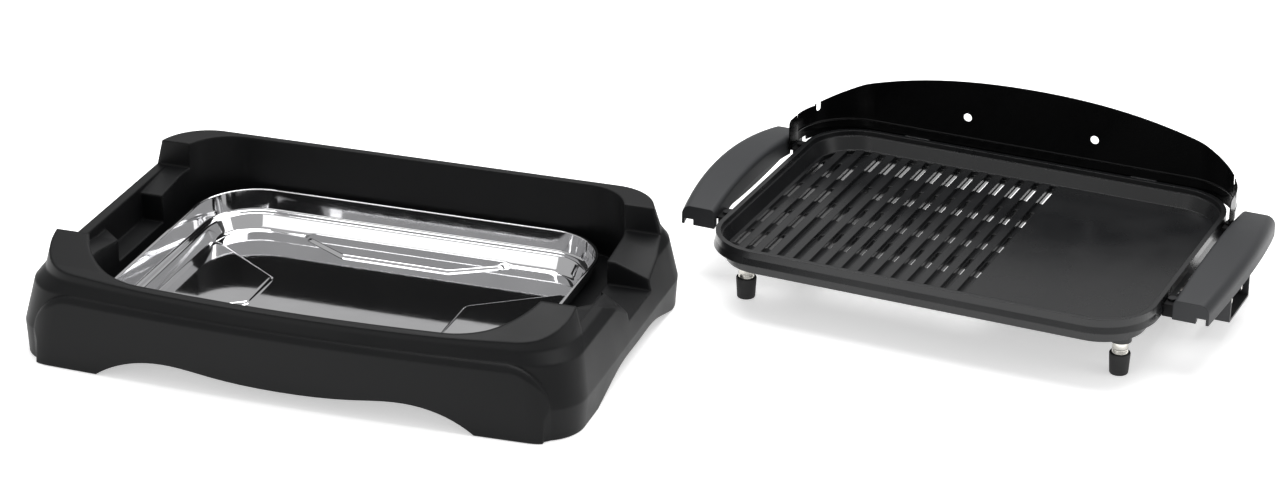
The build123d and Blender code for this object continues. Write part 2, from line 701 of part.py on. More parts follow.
# Grill plate
def plate_outline(inset):
    """The plate's level outline, set inwards from its rim."""
    return RectangleRounded(PLATE_WIDTH - 2 * inset, PLATE_DEPTH - 2 * inset, PLATE_CORNER - inset)


def plate_blank():
    """The dish: upright rim, flaring lip, hollow under the lip, and the cooking floor."""
    blank = extrude(Pos(0, 0, LIP_TOP_Z) * plate_outline(0), PLATE_LIP_DROP)
    blank += lofted(plate_outline(-PLATE_LIP_FLARE), LIP_BOTTOM_Z, plate_outline(0), LIP_TOP_Z)
    lip_inset = PLATE_LIP_WALL - PLATE_LIP_FLARE
    root_inset = lip_inset + PLATE_UNDERCUT
    ring = plate_outline(lip_inset) - plate_outline(root_inset)
    blank -= extrude(Pos(0, 0, LIP_BOTTOM_Z - OVERRUN) * ring, OVERRUN + PLATE_LIP_HEIGHT / 2)
    blank += lofted(plate_outline(PLATE_UNDER_INSET), UNDER_Z, plate_outline(root_inset), LIP_BOTTOM_Z)
    step_z = PLATE_RIM_Z - PLATE_STEP_DROP
    blank -= extrude(Pos(0, 0, step_z) * plate_outline(PLATE_RIM_WALL), PLATE_STEP_DROP)
    blank -= lofted(plate_outline(COOK_INSET), COOK_Z, plate_outline(PLATE_RIM_WALL + PLATE_STEP), step_z)
    return blank


def groove_xs():
    """The middles of the grooves between the ribs."""
    return [FIRST_GROOVE_SHARE * PLATE_WIDTH + RIB_PITCH * k for k in range(GROOVE_COUNT)]


def grooves():
    """The grooves between the ribs, kept inside the cooking floor."""
    bottom = COOK_Z - GROOVE_DEPTH
    half = GROOVE_WIDTH / 2
    strips = [block((x - half, -PLATE_Y, bottom), (x + half, PLATE_Y, COOK_Z)) for x in groove_xs()]
    floor = extrude(Pos(0, 0, bottom) * plate_outline(COOK_INSET + GROOVE_MARGIN), GROOVE_DEPTH)
    return together(strips) & floor


def slot(x, y, length):
    """One drain slot through the floor."""
    face = Pos(x, y, UNDER_Z - OVERRUN) * SlotOverall(length, SLOT_WIDTH, rotation=90)
    return extrude(face, PLATE_FLOOR)


def slots():
    """The drain slots: a few columns at the left edge, then columns that leave room for the bent element."""
    xs = groove_xs()
    edge = xs[:EDGE_SLOT_COLUMNS]
    main = xs[EDGE_SLOT_COLUMNS:]
    cuts = [slot(x, PLATE_DEPTH * row, SLOT_LENGTH) for x in edge for row in EDGE_ROW_SHARES]
    for index, row in enumerate(MAIN_ROW_SHARES):
        y = PLATE_DEPTH * row
        if index % 2 == 0:
            cuts += [slot(x, y, SLOT_LENGTH) for x in main]
        else:
            cuts.append(slot(main[1], y, SLOT_LENGTH * SHORT_SLOT_SHARE))
            cuts += [slot(x, y, SLOT_LENGTH) for x in main[2:]]
    return cuts


def element_path():
    """The middle line of the heating element, from the rear pin round to the front pin."""
    rows = [ELEMENT_BACK_SHARE * PLATE_DEPTH - ELEMENT_PITCH * k for k in range(4)]
    left = ELEMENT_LEFT_SHARE * PLATE_WIDTH
    right = ELEMENT_RIGHT_SHARE * PLATE_WIDTH
    turn = UNDER_X - ELEMENT_TURN_INSET
    bend = ELEMENT_TURN_RADIUS
    half = ELEMENT_PITCH / 2
    front_pin, rear_pin = PIN_YS
    lines = [Line((ELEMENT_END_X, rear_pin, ELEMENT_Z), (turn + 2 * bend, rear_pin, ELEMENT_Z))]
    steps = [
        (bend, -90, (turn + bend, rows[0] - bend)),
        (bend, 90, (left, rows[0])),
        (half, 180, (right, rows[1])),
        (half, -180, (left, rows[2])),
        (half, 180, (turn, rows[3])),
        (bend, 90, (turn + bend, front_pin - bend)),
        (bend, -90, (ELEMENT_END_X, front_pin)),
    ]
    for radius, angle, (x, y) in steps:
        arc = JernArc(lines[-1] @ 1, lines[-1] % 1, radius, angle)
        lines += [arc, Line(arc @ 1, (x, y, ELEMENT_Z))]
    return Wire([line.edge() for line in lines])


def along_element(face, path):
    """A section, with its first axis upwards, carried along the element's line."""
    plane = Plane(origin=path @ 0, x_dir=(0, 0, 1), z_dir=path % 0)
    return sweep(plane * face, path=path)


def element_channel(path):
    """The open channel in the casting that the element lies in."""
    width = ELEMENT_DIAMETER + 2 * FIT_GAP
    depth = ELEMENT_CHANNEL_DEPTH
    trough = along_element(Pos(-depth / 2, 0) * Rectangle(depth, width), path)
    return trough + along_element(Circle(width / 2), path)


def element_ridge(path):
    """The ridge of the casting round the element, ending at the casting's edge."""
    top = UNDER_Z + GROOVE_DEPTH / 2
    bottom = UNDER_Z - ELEMENT_CHANNEL_DEPTH
    middle = (top + bottom) / 2 - ELEMENT_Z
    ridge = along_element(Pos(middle, 0) * Rectangle(top - bottom, ELEMENT_CHANNEL_WIDTH), path)
    return ridge - block((UNDER_X, -PLATE_Y, 0), (UNDER_X + PLATE_X, PLATE_Y, PLATE_RIM_Z))


def bracket_ys():
    """The middles of the front and rear handle brackets."""
    offset_y = HANDLE_LENGTH / 2 - BRACKET_INSET
    return [HANDLE_SHIFT - offset_y, HANDLE_SHIFT + offset_y]


def ears():
    """Right-hand ears that carry the handle brackets, with their screw holes, before they are fitted."""
    top = BRACKET_Z - BRACKET_SHEET
    half = BRACKET_WIDTH / 2
    shapes = []
    for y in bracket_ys():
        ear = block((PLATE_X, y - half, top - EAR_HEIGHT), (EAR_END, y + half, top))
        shapes.append(ear - drum(EAR_SCREW_X, y, top - SCREW_GRIP - FIT_GAP, top, SCREW_HOLE))
    return together(shapes)


def handle_lugs():
    """The four ears, fitted against the plate's lip."""
    right = ears() - plate_blank()
    return together([*right.solids(), *mirrored(right).solids()])


def inlet_seats():
    """The blocks under the casting that carry the inlet bracket and the probe tube."""
    top = UNDER_Z + GROOVE_DEPTH / 2
    half = TAB_WIDTH / 2
    shapes = []
    for y in TAB_YS:
        seat = block((TAB_START, y - half, TAB_Z), (UNDER_X, y + half, top))
        shapes.append(seat - drum(TAB_SCREW_X, y, TAB_Z, TAB_Z + SCREW_GRIP + FIT_GAP, SCREW_HOLE))
    low = (UNDER_X - PROBE_BLOCK, INLET_Y - PROBE_BLOCK / 2, PIN_Z - PROBE_BLOCK / 2)
    probe_block = block(low, (UNDER_X, INLET_Y + PROBE_BLOCK / 2, top))
    bore = PROBE_DIAMETER + 2 * FIT_GAP
    shapes.append(probe_block - rod_x(UNDER_X - PROBE_SEAT, UNDER_X, INLET_Y, PIN_Z, bore))
    return together(shapes)


def foot_places():
    """The plate's four feet, with the words that name them."""
    return [
        ("front_left", -FOOT_X, -FOOT_Y),
        ("front_right", FOOT_X, -FOOT_Y),
        ("rear_left", -FOOT_X, FOOT_Y),
        ("rear_right", FOOT_X, FOOT_Y),
    ]


def collars():
    """The foot collars of the casting."""
    top = UNDER_Z + GROOVE_DEPTH / 2
    return [drum(x, y, COLLAR_Z, top, COLLAR_DIAMETER) for _, x, y in foot_places()]


def collar_holes():
    """The sleeves' seats in the collars, and the foot screws' holes."""
    screw_end = SLEEVE_TOP_Z + FOOT_SCREW_GRIP
    holes = []
    for _, x, y in foot_places():
        holes.append(drum(x, y, COLLAR_Z - OVERRUN, SLEEVE_TOP_Z, SLEEVE_DIAMETER + 2 * FIT_GAP))
        holes.append(drum(x, y, SLEEVE_TOP_Z, screw_end, FOOT_SCREW_DIAMETER + 2 * FIT_GAP))
    return holes


def rivet_xs():
    """The rivets of the windshield clips: two on each clip."""
    return [side * CLIP_X + end * RIVET_SPREAD / 2 for side in (-1, 1) for end in (-1, 1)]


def grill_plate():
    """The cast plate: ribs with drain slots on the left, a flat griddle on the right."""
    path = element_path()
    plate = plate_blank() + element_ridge(path) + inlet_seats()
    plate += collars()
    plate -= collar_holes()
    plate -= element_channel(path)
    plate -= grooves()
    plate -= slots()
    hole = RIVET_DIAMETER + 2 * FIT_GAP
    start = PLATE_Y - RIVET_DEPTH - FIT_GAP
    return plate - [rod_y(x, RIVET_Z, start, PLATE_Y, hole) for x in rivet_xs()]


def heating_element():
    """The bent tube of the heater."""
    return along_element(Circle(ELEMENT_DIAMETER / 2), element_path())


# Feet of the plate
def foot_sleeve(x, y):
    """A nickel sleeve, closed at its top by a wall the screw goes through."""
    sleeve = drum(x, y, CAP_FLOOR, SLEEVE_TOP_Z, SLEEVE_DIAMETER)
    sleeve -= drum(x, y, CAP_FLOOR, SLEEVE_TOP_Z - SLEEVE_WALL, SLEEVE_DIAMETER - 2 * SLEEVE_WALL)
    return sleeve - drum(x, y, CAP_FLOOR, SLEEVE_TOP_Z, FOOT_SCREW_DIAMETER + 2 * FIT_GAP)


def foot_cap(x, y):
    """A rubber cap over the sleeve's lower end."""
    cap = lofted(Circle(CAP_BOTTOM_DIAMETER / 2), 0, Circle(CAP_TOP_DIAMETER / 2), CAP_HEIGHT)
    return Pos(x, y, 0) * cap - drum(x, y, CAP_FLOOR, CAP_HEIGHT, SLEEVE_DIAMETER + 2 * FIT_GAP)


def foot_screws():
    """The screws that hold the sleeves to the casting."""
    screws = []
    seat = SLEEVE_TOP_Z - SLEEVE_WALL
    for _, x, y in foot_places():
        head = drum(x, y, seat - FOOT_SCREW_HEAD_HEIGHT, seat, FOOT_SCREW_HEAD)
        screws.append(head + drum(x, y, seat, SLEEVE_TOP_Z + FOOT_SCREW_GRIP, FOOT_SCREW_DIAMETER))
    return together(screws)


# Windshield
def wing_tip():
    """The end of the right wing, from above."""
    bend = Pos(SHIELD_X, SHIELD_Y + SHIELD_SHEET / 2, 0)
    tip = bend * Rot(0, 0, SHIELD_WING_FLARE) * Pos(0, -SHIELD_WING, 0)
    return tip.position.X, tip.position.Y


def shield_line(z):
    """The middle line of the bent sheet at one height: wing, bend, back, bend and wing."""
    line_y = SHIELD_Y + SHIELD_SHEET / 2
    tip_x, tip_y = wing_tip()
    corners = [(-tip_x, tip_y, z), (-SHIELD_X, line_y, z), (SHIELD_X, line_y, z), (tip_x, tip_y, z)]
    return FilletPolyline(*corners, radius=SHIELD_BEND_RADIUS)


def shield_sheet():
    """The bent sheet seen from above, drawn up to the height of the windshield."""
    sheet = trace(shield_line(0), SHIELD_SHEET)
    return extrude(Pos(0, 0, SHIELD_BOTTOM_Z) * sheet, SHIELD_TOP_RISE + SHIELD_BOTTOM_DROP)


def shield_back():
    """The arched outline of the back sheet."""
    end_z = PLATE_RIM_Z + SHIELD_END_RISE
    shoulder = (SHIELD_SHOULDER_SHARE * SHIELD_X, PLATE_RIM_Z + SHIELD_SHOULDER_RISE)
    middle = (SHIELD_MIDDLE_SHARE * SHIELD_X, PLATE_RIM_Z + SHIELD_MIDDLE_RISE)
    right = [middle, shoulder]
    left = [(-x, z) for x, z in reversed(right)]
    arch = Spline(*left, (0, PLATE_RIM_Z + SHIELD_TOP_RISE), *right)
    sides = [
        Line(shoulder, (SHIELD_X, end_z)),
        Line((SHIELD_X, end_z), (SHIELD_X, SHIELD_BOTTOM_Z)),
        Line((SHIELD_X, SHIELD_BOTTOM_Z), (-SHIELD_X, SHIELD_BOTTOM_Z)),
        Line((-SHIELD_X, SHIELD_BOTTOM_Z), (-SHIELD_X, end_z)),
        Line((-SHIELD_X, end_z), left[0]),
    ]
    reach = SHIELD_BEND_RADIUS * SHIELD_BACK_SHARE
    slab = extrude(Plane.XZ * make_face([arch, *sides]), reach, both=True)
    return Pos(0, SHIELD_Y, 0) * slab


def shield_wings():
    """The side outline of the wings."""
    rim = PLATE_RIM_Z
    back = SHIELD_Y + SHIELD_SHEET
    _, end = wing_tip()
    points = [
        (back, SHIELD_BOTTOM_Z),
        (back, rim + SHIELD_WING_TOP_RISE),
        (end, rim + SHIELD_WING_END_RISE),
        (end, SHIELD_BOTTOM_Z),
    ]
    side = prism_x(points, SHIELD_X - SHIELD_BEND_RADIUS, SHIELD_X + SHIELD_WING)
    top_end = side.edges().filter_by(Axis.X).group_by(Axis.Y)[0].sort_by(Axis.Z)[-1]
    side = fillet(top_end, SHIELD_WING_CORNER)
    return side + mirrored(side)


def bracket_passage():
    """What is cut from the right wing to let it pass over the rear handle bracket."""
    _, rear = bracket_ys()
    half = BRACKET_WIDTH / 2 + SHIELD_WING_CLEAR
    low = (SHIELD_X - SHIELD_BEND_RADIUS, rear - half, 0)
    return block(low, (SHIELD_X + SHIELD_WING, rear + half, PLATE_RIM_Z - SHIELD_WING_DROP))


def shield_notches():
    """The round-ended notches in the upper edges of the right wing and its bend."""
    low_z = PLATE_RIM_Z + SHIELD_WING_TOP_RISE - SHIELD_NOTCH_DEPTH
    bend = Pos(SHIELD_X - SHIELD_BEND_RADIUS, SHIELD_Y - SHIELD_BEND_RADIUS, low_z)
    cuts = []
    for angle, width in zip(SHIELD_NOTCH_ANGLES, SHIELD_NOTCH_WIDTHS):
        cut = Pos(0, SHIELD_BEND_RADIUS, width) * Box(width, PLATE_CORNER, 2 * width)
        end = Pos(0, SHIELD_BEND_RADIUS, 0) * Rot(90, 0, 0) * Cylinder(width / 2, PLATE_CORNER)
        cuts.append(bend * Rot(0, 0, -angle) * (cut + end))
    return cuts


def shield_bead():
    """The bead along the windshield's back and bends."""
    line = shield_line(PLATE_RIM_Z + SHIELD_BEAD_RISE)
    paths = line.edges()[1:-1]
    beads = []
    for path in paths:
        section = Plane(origin=path @ 0, z_dir=path % 0) * Circle(SHIELD_BEAD / 2)
        beads.append(sweep(section, path=path))
    return beads


def windshield():
    """The windshield sheet with its two holes, its notches and the bead."""
    sheet = shield_sheet() & (shield_back() + shield_wings())
    start = SHIELD_Y - OVERRUN
    end = SHIELD_Y + OVERRUN
    z = PLATE_RIM_Z + SHIELD_HOLE_RISE
    holes = [rod_y(x, z, start, end, SHIELD_HOLE) for x in (-SHIELD_HOLE_X, SHIELD_HOLE_X)]
    wing_cuts = [*shield_notches(), bracket_passage()]
    wing_cuts += [mirrored(cut) for cut in wing_cuts]
    return sheet - holes - wing_cuts + shield_bead()


def windshield_clip(side):
    """A U-shaped clip on the plate's back wall that takes the windshield's lower edge."""
    left = side * CLIP_X - CLIP_WIDTH / 2
    right = side * CLIP_X + CLIP_WIDTH / 2
    inner = PLATE_Y + CLIP_SHEET
    outer = SHIELD_Y + SHIELD_SHEET + SEAT_GAP
    back = outer + CLIP_SHEET
    clip = block((left, PLATE_Y, CLIP_Z), (right, back, CLIP_Z + CLIP_SHEET))
    clip += block((left, PLATE_Y, CLIP_Z), (right, inner, PLATE_RIM_Z))
    clip += block((left, outer, CLIP_Z), (right, back, CLIP_Z + CLIP_LEAF))
    hole = RIVET_DIAMETER + 2 * FIT_GAP
    return clip - [rod_y(x, RIVET_Z, PLATE_Y, inner, hole) for x in rivet_xs()]


def clip_rivets():
    """The countersunk rivets of the clips, flush with the clip's inner leaf."""
    start = PLATE_Y - RIVET_DEPTH
    end = PLATE_Y + CLIP_SHEET
    return together([rod_y(x, RIVET_Z, start, end, RIVET_DIAMETER) for x in rivet_xs()])


# Handles, drawn on the right
def handle_plan(inset, extra):
    """The handle from above, set inwards from its long sides and made longer at its ends."""
    half = HANDLE_LENGTH / 2 + extra
    inner = HANDLE_X + inset
    outer = HANDLE_X + HANDLE_WIDTH - inset
    inner_edge = ThreePointArc((inner, -half), (inner + HANDLE_INNER_BOW, 0), (inner, half))
    outer_edge = ThreePointArc((outer, -half), (outer + HANDLE_OUTER_BOW, 0), (outer, half))
    ends = [Line((inner, -half), (outer, -half)), Line((inner, half), (outer, half))]
    return Pos(0, HANDLE_SHIFT, 0) * extrude(make_face([inner_edge, outer_edge, *ends]), 2 * PLATE_RIM_Z)


def handle_band(drop, depth, extra):
    """The handle from the side: an arched band below the handle's top."""
    half = HANDLE_LENGTH / 2 + extra
    top_z = HANDLE_Z - drop
    low_z = top_z - depth
    top = ThreePointArc((-half, top_z), (0, top_z + HANDLE_ARCH), (half, top_z))
    low = ThreePointArc((-half, low_z), (0, low_z + HANDLE_ARCH), (half, low_z))
    ends = [Line((-half, top_z), (-half, low_z)), Line((half, top_z), (half, low_z))]
    return Pos(0, HANDLE_SHIFT, 0) * extrude(Plane.YZ * make_face([top, low, *ends]), PLATE_WIDTH)


def handle_bar(inset, extra, depth):
    """The handle as a bar with rounded upper edges, set inwards by the cover's wall where asked."""
    bar = handle_plan(inset, extra) & handle_band(inset, depth, extra)
    top = bar.faces().sort_by(Axis.Z)[-1]
    sides = ShapeList([edge for edge in top.edges() if edge.length > HANDLE_LENGTH / 2])
    bar = fillet(sides.sort_by(Axis.X)[-1], HANDLE_OUTER_ROUND - inset)
    top = bar.faces().sort_by(Axis.Z)[-1]
    sides = ShapeList([edge for edge in top.edges() if edge.length > HANDLE_LENGTH / 2])
    return fillet(sides.sort_by(Axis.X)[0], HANDLE_INNER_ROUND - inset)


def handle_cover():
    """The hollow cover: open below, with end walls, blocks behind their inner part and screw bosses."""
    bar = handle_bar(0, 0, HANDLE_HEIGHT)
    cover = bar - handle_bar(HANDLE_WALL, OVERRUN, HANDLE_HEIGHT)
    half = HANDLE_LENGTH / 2
    above = 2 * PLATE_RIM_Z
    middle_x = HANDLE_X + HANDLE_WIDTH * HANDLE_END_SHARE
    outer_x = HANDLE_X + HANDLE_WIDTH + HANDLE_OUTER_BOW
    wall_z = HANDLE_Z - HANDLE_HEIGHT * HANDLE_END_WALL_SHARE
    for end in (HANDLE_SHIFT - half, HANDLE_SHIFT + half - HANDLE_END_BLOCK):
        cover += bar & block((HANDLE_X, end, 0), (middle_x, end + HANDLE_END_BLOCK, above))
        cover += bar & block((HANDLE_X, end, wall_z), (outer_x, end + HANDLE_END_BLOCK, above))
    notch = BRACKET_WIDTH / 2 + FIT_GAP
    notch_x = HANDLE_X + HANDLE_WALL + HANDLE_INNER_BOW
    for y in bracket_ys():
        cover += bar & drum(HANDLE_SCREW_X, y, BRACKET_Z, above, SCREW_BOSS)
        cover -= block((HANDLE_X - OVERRUN, y - notch, 0), (notch_x, y + notch, BRACKET_Z))
        cover -= drum(HANDLE_SCREW_X, y, BRACKET_Z, BRACKET_Z + SCREW_GRIP + FIT_GAP, SCREW_HOLE)
    return cover


def handle_grip():
    """The lower grip between the brackets, in the cover's inner half, with a belly below."""
    _, rear = bracket_ys()
    half = rear - HANDLE_SHIFT - BRACKET_WIDTH / 2 - GRIP_GAP
    top_z = HANDLE_Z + HANDLE_ARCH
    belly_z = top_z - HANDLE_HEIGHT - GRIP_BELLY
    end_z = belly_z + GRIP_RISE
    curve = ThreePointArc((-half, end_z), (0, belly_z), (half, end_z))
    frame = Polyline((half, end_z), (half, top_z), (-half, top_z), (-half, end_z))
    side = extrude(Plane.YZ * make_face([curve, frame]), HANDLE_WALL + GRIP_WIDTH)
    side = Pos(HANDLE_X, HANDLE_SHIFT, 0) * side
    return handle_bar(HANDLE_WALL + FIT_GAP, OVERRUN, 2 * HANDLE_HEIGHT) & side


def handle_bracket(y):
    """A flat bar from the plate's ear into the handle."""
    half = BRACKET_WIDTH / 2
    low_z = BRACKET_Z - BRACKET_SHEET
    bar = block((BRACKET_START, y - half, low_z), (BRACKET_END, y + half, BRACKET_Z))
    return bar - [drum(x, y, low_z, BRACKET_Z, SCREW_HOLE) for x in (EAR_SCREW_X, HANDLE_SCREW_X)]


def bracket_screws():
    """The right-hand screws from the brackets down into the ears."""
    screws = []
    for y in bracket_ys():
        shank = drum(EAR_SCREW_X, y, BRACKET_Z - BRACKET_SHEET - SCREW_GRIP, BRACKET_Z, SCREW_DIAMETER)
        screws.append(shank + drum(EAR_SCREW_X, y, BRACKET_Z, BRACKET_Z + SCREW_HEAD_HEIGHT, SCREW_HEAD))
    return screws


def handle_screws():
    """The right-hand screws from the brackets up into the handle cover."""
    seat = BRACKET_Z - BRACKET_SHEET
    screws = []
    for y in bracket_ys():
        shank = drum(HANDLE_SCREW_X, y, seat, BRACKET_Z + SCREW_GRIP, SCREW_DIAMETER)
        screws.append(shank + drum(HANDLE_SCREW_X, y, seat - SCREW_HEAD_HEIGHT, seat, SCREW_HEAD))
    return screws


def both_sides(shapes):
    """A group of right-hand solids together with their left-hand copies."""
    return together([*shapes, *[mirrored(shape) for shape in shapes]])


# Inlet
def inlet_window(margin, start, end):
    """A block as large as the shroud's back window, smaller all round by a margin."""
    half_y = PIN_SPREAD / 2 + WINDOW_MARGIN - margin
    half_z = WINDOW_HEIGHT / 2 - margin
    return block((start, INLET_Y - half_y, PIN_Z - half_z), (end, INLET_Y + half_y, PIN_Z + half_z))


def inlet_screw_places():
    """The two screws through the shroud's back wall, below the window."""
    z = PIN_Z - INLET_HEIGHT / 2 + INLET_WALL + INLET_SCREW_HEAD / 2 + FIT_GAP
    return [(y, z) for y in (INLET_Y - PIN_SPREAD / 2, INLET_Y + PIN_SPREAD / 2)]


def inlet_screw_holes(start, end):
    """The holes for the inlet screws between two places along X."""
    return [rod_x(start, end, y, z, INLET_SCREW + 2 * FIT_GAP) for y, z in inlet_screw_places()]


def inlet_shroud():
    """The box round the contact pins, open to the right."""
    half_y = INLET_WIDTH / 2
    half_z = INLET_HEIGHT / 2
    end = INLET_X + INLET_DEPTH
    back = INLET_X + INLET_WALL
    shroud = block((INLET_X, INLET_Y - half_y, PIN_Z - half_z), (end, INLET_Y + half_y, PIN_Z + half_z))
    half_y -= INLET_WALL
    half_z -= INLET_WALL
    shroud -= block((back, INLET_Y - half_y, PIN_Z - half_z), (end, INLET_Y + half_y, PIN_Z + half_z))
    shroud -= inlet_window(0, INLET_X, back)
    return shroud - inlet_screw_holes(INLET_X, back)


def inlet_bracket():
    """The plate behind the shroud, with two tabs that reach under the casting."""
    half = TAB_WIDTH / 2
    back = INLET_X - TAB_SHEET
    tab_bottom = TAB_Z - TAB_SHEET
    front_y, rear_y = TAB_YS
    bottom = INLET_TOP_Z - INLET_HEIGHT
    bracket = block((back, front_y - half, bottom), (INLET_X, rear_y + half, TAB_Z))
    for y in TAB_YS:
        tab = block((TAB_START, y - half, tab_bottom), (INLET_X, y + half, TAB_Z))
        bracket += tab - drum(TAB_SCREW_X, y, tab_bottom, TAB_Z, SCREW_HOLE)
    reach = PIN_HOLE / 2 + SEAT_GAP
    for y in (*PIN_YS, INLET_Y):
        bracket -= block((back, y - reach, PIN_Z - reach), (INLET_X, y + reach, TAB_Z + OVERRUN))
    return bracket - inlet_screw_holes(back, INLET_X)


def inlet_screws():
    """The screws through shroud and bracket, and those from the tabs up into the casting."""
    start = INLET_X - TAB_SHEET
    end = INLET_X + INLET_WALL
    seat = TAB_Z - TAB_SHEET
    screws = []
    for y, z in inlet_screw_places():
        shank = rod_x(start, end, y, z, INLET_SCREW)
        screws.append(shank + rod_x(end, end + SCREW_HEAD_HEIGHT, y, z, INLET_SCREW_HEAD))
    for y in TAB_YS:
        shank = drum(TAB_SCREW_X, y, seat, TAB_Z + SCREW_GRIP, SCREW_DIAMETER)
        screws.append(shank + drum(TAB_SCREW_X, y, seat - SCREW_HEAD_HEIGHT, seat, SCREW_HEAD))
    return together(screws)


def terminal_insulator():
    """The insulating block in the shroud's back window, with a flange inside the shroud."""
    back = INLET_X + INLET_WALL
    end = back + FLANGE_SHEET
    shape = inlet_window(FIT_GAP, INLET_X, back) + inlet_window(-FLANGE_MARGIN, back, end)
    shape -= [rod_x(INLET_X, end, y, PIN_Z, PIN_DIAMETER + 2 * FIT_GAP) for y in PIN_YS]
    return shape - rod_x(INLET_X, end, INLET_Y, PIN_Z, PROBE_DIAMETER + 2 * FIT_GAP)


def contact_pin(y):
    """A bent contact pin from the element's end to near the shroud's mouth."""
    step_x = ELEMENT_END_X + PIN_DIAMETER
    low_x = step_x + PIN_DIAMETER
    tip_x = INLET_X + INLET_DEPTH - PIN_RECESS
    corners = [(ELEMENT_END_X, y, ELEMENT_Z), (step_x, y, ELEMENT_Z), (low_x, y, PIN_Z), (tip_x, y, PIN_Z)]
    path = Wire(FilletPolyline(*corners, radius=PIN_BEND).edges())
    return sweep(Plane(origin=path @ 0, z_dir=path % 0) * Circle(PIN_DIAMETER / 2), path=path)


def probe_tube():
    """The guide tube for a temperature probe, set into the casting."""
    start = UNDER_X - PROBE_SEAT
    end = INLET_X + INLET_DEPTH - PROBE_RECESS
    return rod_x(start, end, INLET_Y, PIN_Z, PROBE_DIAMETER) - rod_x(start, end, INLET_Y, PIN_Z, PROBE_BORE)


def earth_strip():
    """The earth strip under the shroud's upper wall at its mouth."""
    top = INLET_TOP_Z - INLET_WALL
    end = INLET_X + INLET_DEPTH
    half = EARTH_WIDTH / 2
    return block((end - EARTH_DEPTH, INLET_Y - half, top - EARTH_SHEET), (end, INLET_Y + half, top))


# All pieces
def base_pieces():
    """The pieces that stand at the working origin."""
    return {"base_frame": base_frame(), "base_foot_pads": base_foot_pads(), "drip_tray": drip_tray()}


def foot_pieces():
    """The sleeves, caps and screws of the plate's feet."""
    pieces = {"foot_screws": foot_screws()}
    for name, x, y in foot_places():
        pieces[f"foot_sleeve_{name}"] = foot_sleeve(x, y)
        pieces[f"foot_cap_{name}"] = foot_cap(x, y)
    return pieces


def handle_pieces():
    """The covers, grips, brackets and screws of both handles."""
    cover = handle_cover()
    grip = handle_grip()
    front, rear = [handle_bracket(y) for y in bracket_ys()]
    return {
        "right_handle_cover": cover,
        "left_handle_cover": mirrored(cover),
        "right_handle_grip": grip,
        "left_handle_grip": mirrored(grip),
        "right_front_bracket": front,
        "right_rear_bracket": rear,
        "left_front_bracket": mirrored(front),
        "left_rear_bracket": mirrored(rear),
        "bracket_screws": both_sides(bracket_screws()),
        "handle_screws": both_sides(handle_screws()),
    }


def inlet_pieces():
    """The pieces of the inlet."""
    front_y, rear_y = PIN_YS
    return {
        "inlet_shroud": inlet_shroud(),
        "inlet_bracket": inlet_bracket(),
        "inlet_screws": inlet_screws(),
        "terminal_insulator": terminal_insulator(),
        "contact_pin_front": contact_pin(front_y),
        "contact_pin_rear": contact_pin(rear_y),
        "probe_tube": probe_tube(),
        "earth_strip": earth_strip(),
    }


def plate_pieces():
    """The pieces of the grill plate, placed beside the base."""
    pieces = {
        "grill_plate": grill_plate(),
        "handle_lugs": handle_lugs(),
        "heating_element": heating_element(),
        "windshield": windshield(),
        "windshield_clip_left": windshield_clip(-1),
        "windshield_clip_right": windshield_clip(1),
        "clip_rivets": clip_rivets(),
    }
    pieces.update(foot_pieces())
    pieces.update(handle_pieces())
    pieces.update(inlet_pieces())
    stand_x = BASE_X + STAND_SIDE_GAP + PLATE_X
    stand = Location((stand_x, BASE_Y + STAND_BACK, 0), (0, 0, STAND_YAW))
    return {name: stand * shape for name, shape in pieces.items()}


def export_all():
    """Every piece, with the whole part's lower middle moved to the origin."""
    pieces = base_pieces()
    pieces.update(plate_pieces())
    boxes = [shape.bounding_box() for shape in pieces.values()]
    middle_x = (min(box.min.X for box in boxes) + max(box.max.X for box in boxes)) / 2
    middle_y = (min(box.min.Y for box in boxes) + max(box.max.Y for box in boxes)) / 2
    os.makedirs("parts", exist_ok=True)
    for name, shape in pieces.items():
        export_step(Pos(-middle_x, -middle_y, 0) * shape, f"parts/{name}.step")
    print("working origin at", round(-middle_x, 4), round(-middle_y, 4))


export_all()
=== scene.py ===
# %% [markdown]
# # A table grill with its plate lifted out
# The measured model comes in as a fixed frame, in metres, and this lesson dresses it. Pieces whose solid
# already has the right form keep it and get a finish. The tray and the plate's feet, which need smoother
# bends and softer edges, are made again here.

# %% Load the frame
import math

import bmesh
import bpy
from mathutils import Matrix, Vector
from mathutils.geometry import delaunay_2d_cdt


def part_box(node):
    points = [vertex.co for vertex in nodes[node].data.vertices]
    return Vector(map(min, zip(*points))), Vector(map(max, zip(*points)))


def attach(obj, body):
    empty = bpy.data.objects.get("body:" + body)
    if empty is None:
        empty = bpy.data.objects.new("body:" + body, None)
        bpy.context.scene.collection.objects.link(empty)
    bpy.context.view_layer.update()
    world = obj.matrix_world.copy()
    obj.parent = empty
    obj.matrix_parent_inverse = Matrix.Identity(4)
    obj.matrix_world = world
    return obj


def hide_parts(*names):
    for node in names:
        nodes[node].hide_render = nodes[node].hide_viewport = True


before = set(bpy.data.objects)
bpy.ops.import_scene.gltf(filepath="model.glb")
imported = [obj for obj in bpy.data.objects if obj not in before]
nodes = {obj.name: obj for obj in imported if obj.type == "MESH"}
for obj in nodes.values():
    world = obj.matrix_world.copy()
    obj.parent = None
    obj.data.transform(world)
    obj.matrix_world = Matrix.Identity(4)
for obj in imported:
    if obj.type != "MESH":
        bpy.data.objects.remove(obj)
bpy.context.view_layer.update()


# %% [markdown]
# ## Objects and where they face
# Cameras, lights and meshes are all data that an object puts into the scene. Cameras and lights look along
# their own -Z axis, so one function turns both kinds.

# %% Helpers for objects
def in_scene(name, data):
    """A new object with its data, linked into the scene."""
    thing = bpy.data.objects.new(name, data)
    bpy.context.scene.collection.objects.link(thing)
    return thing


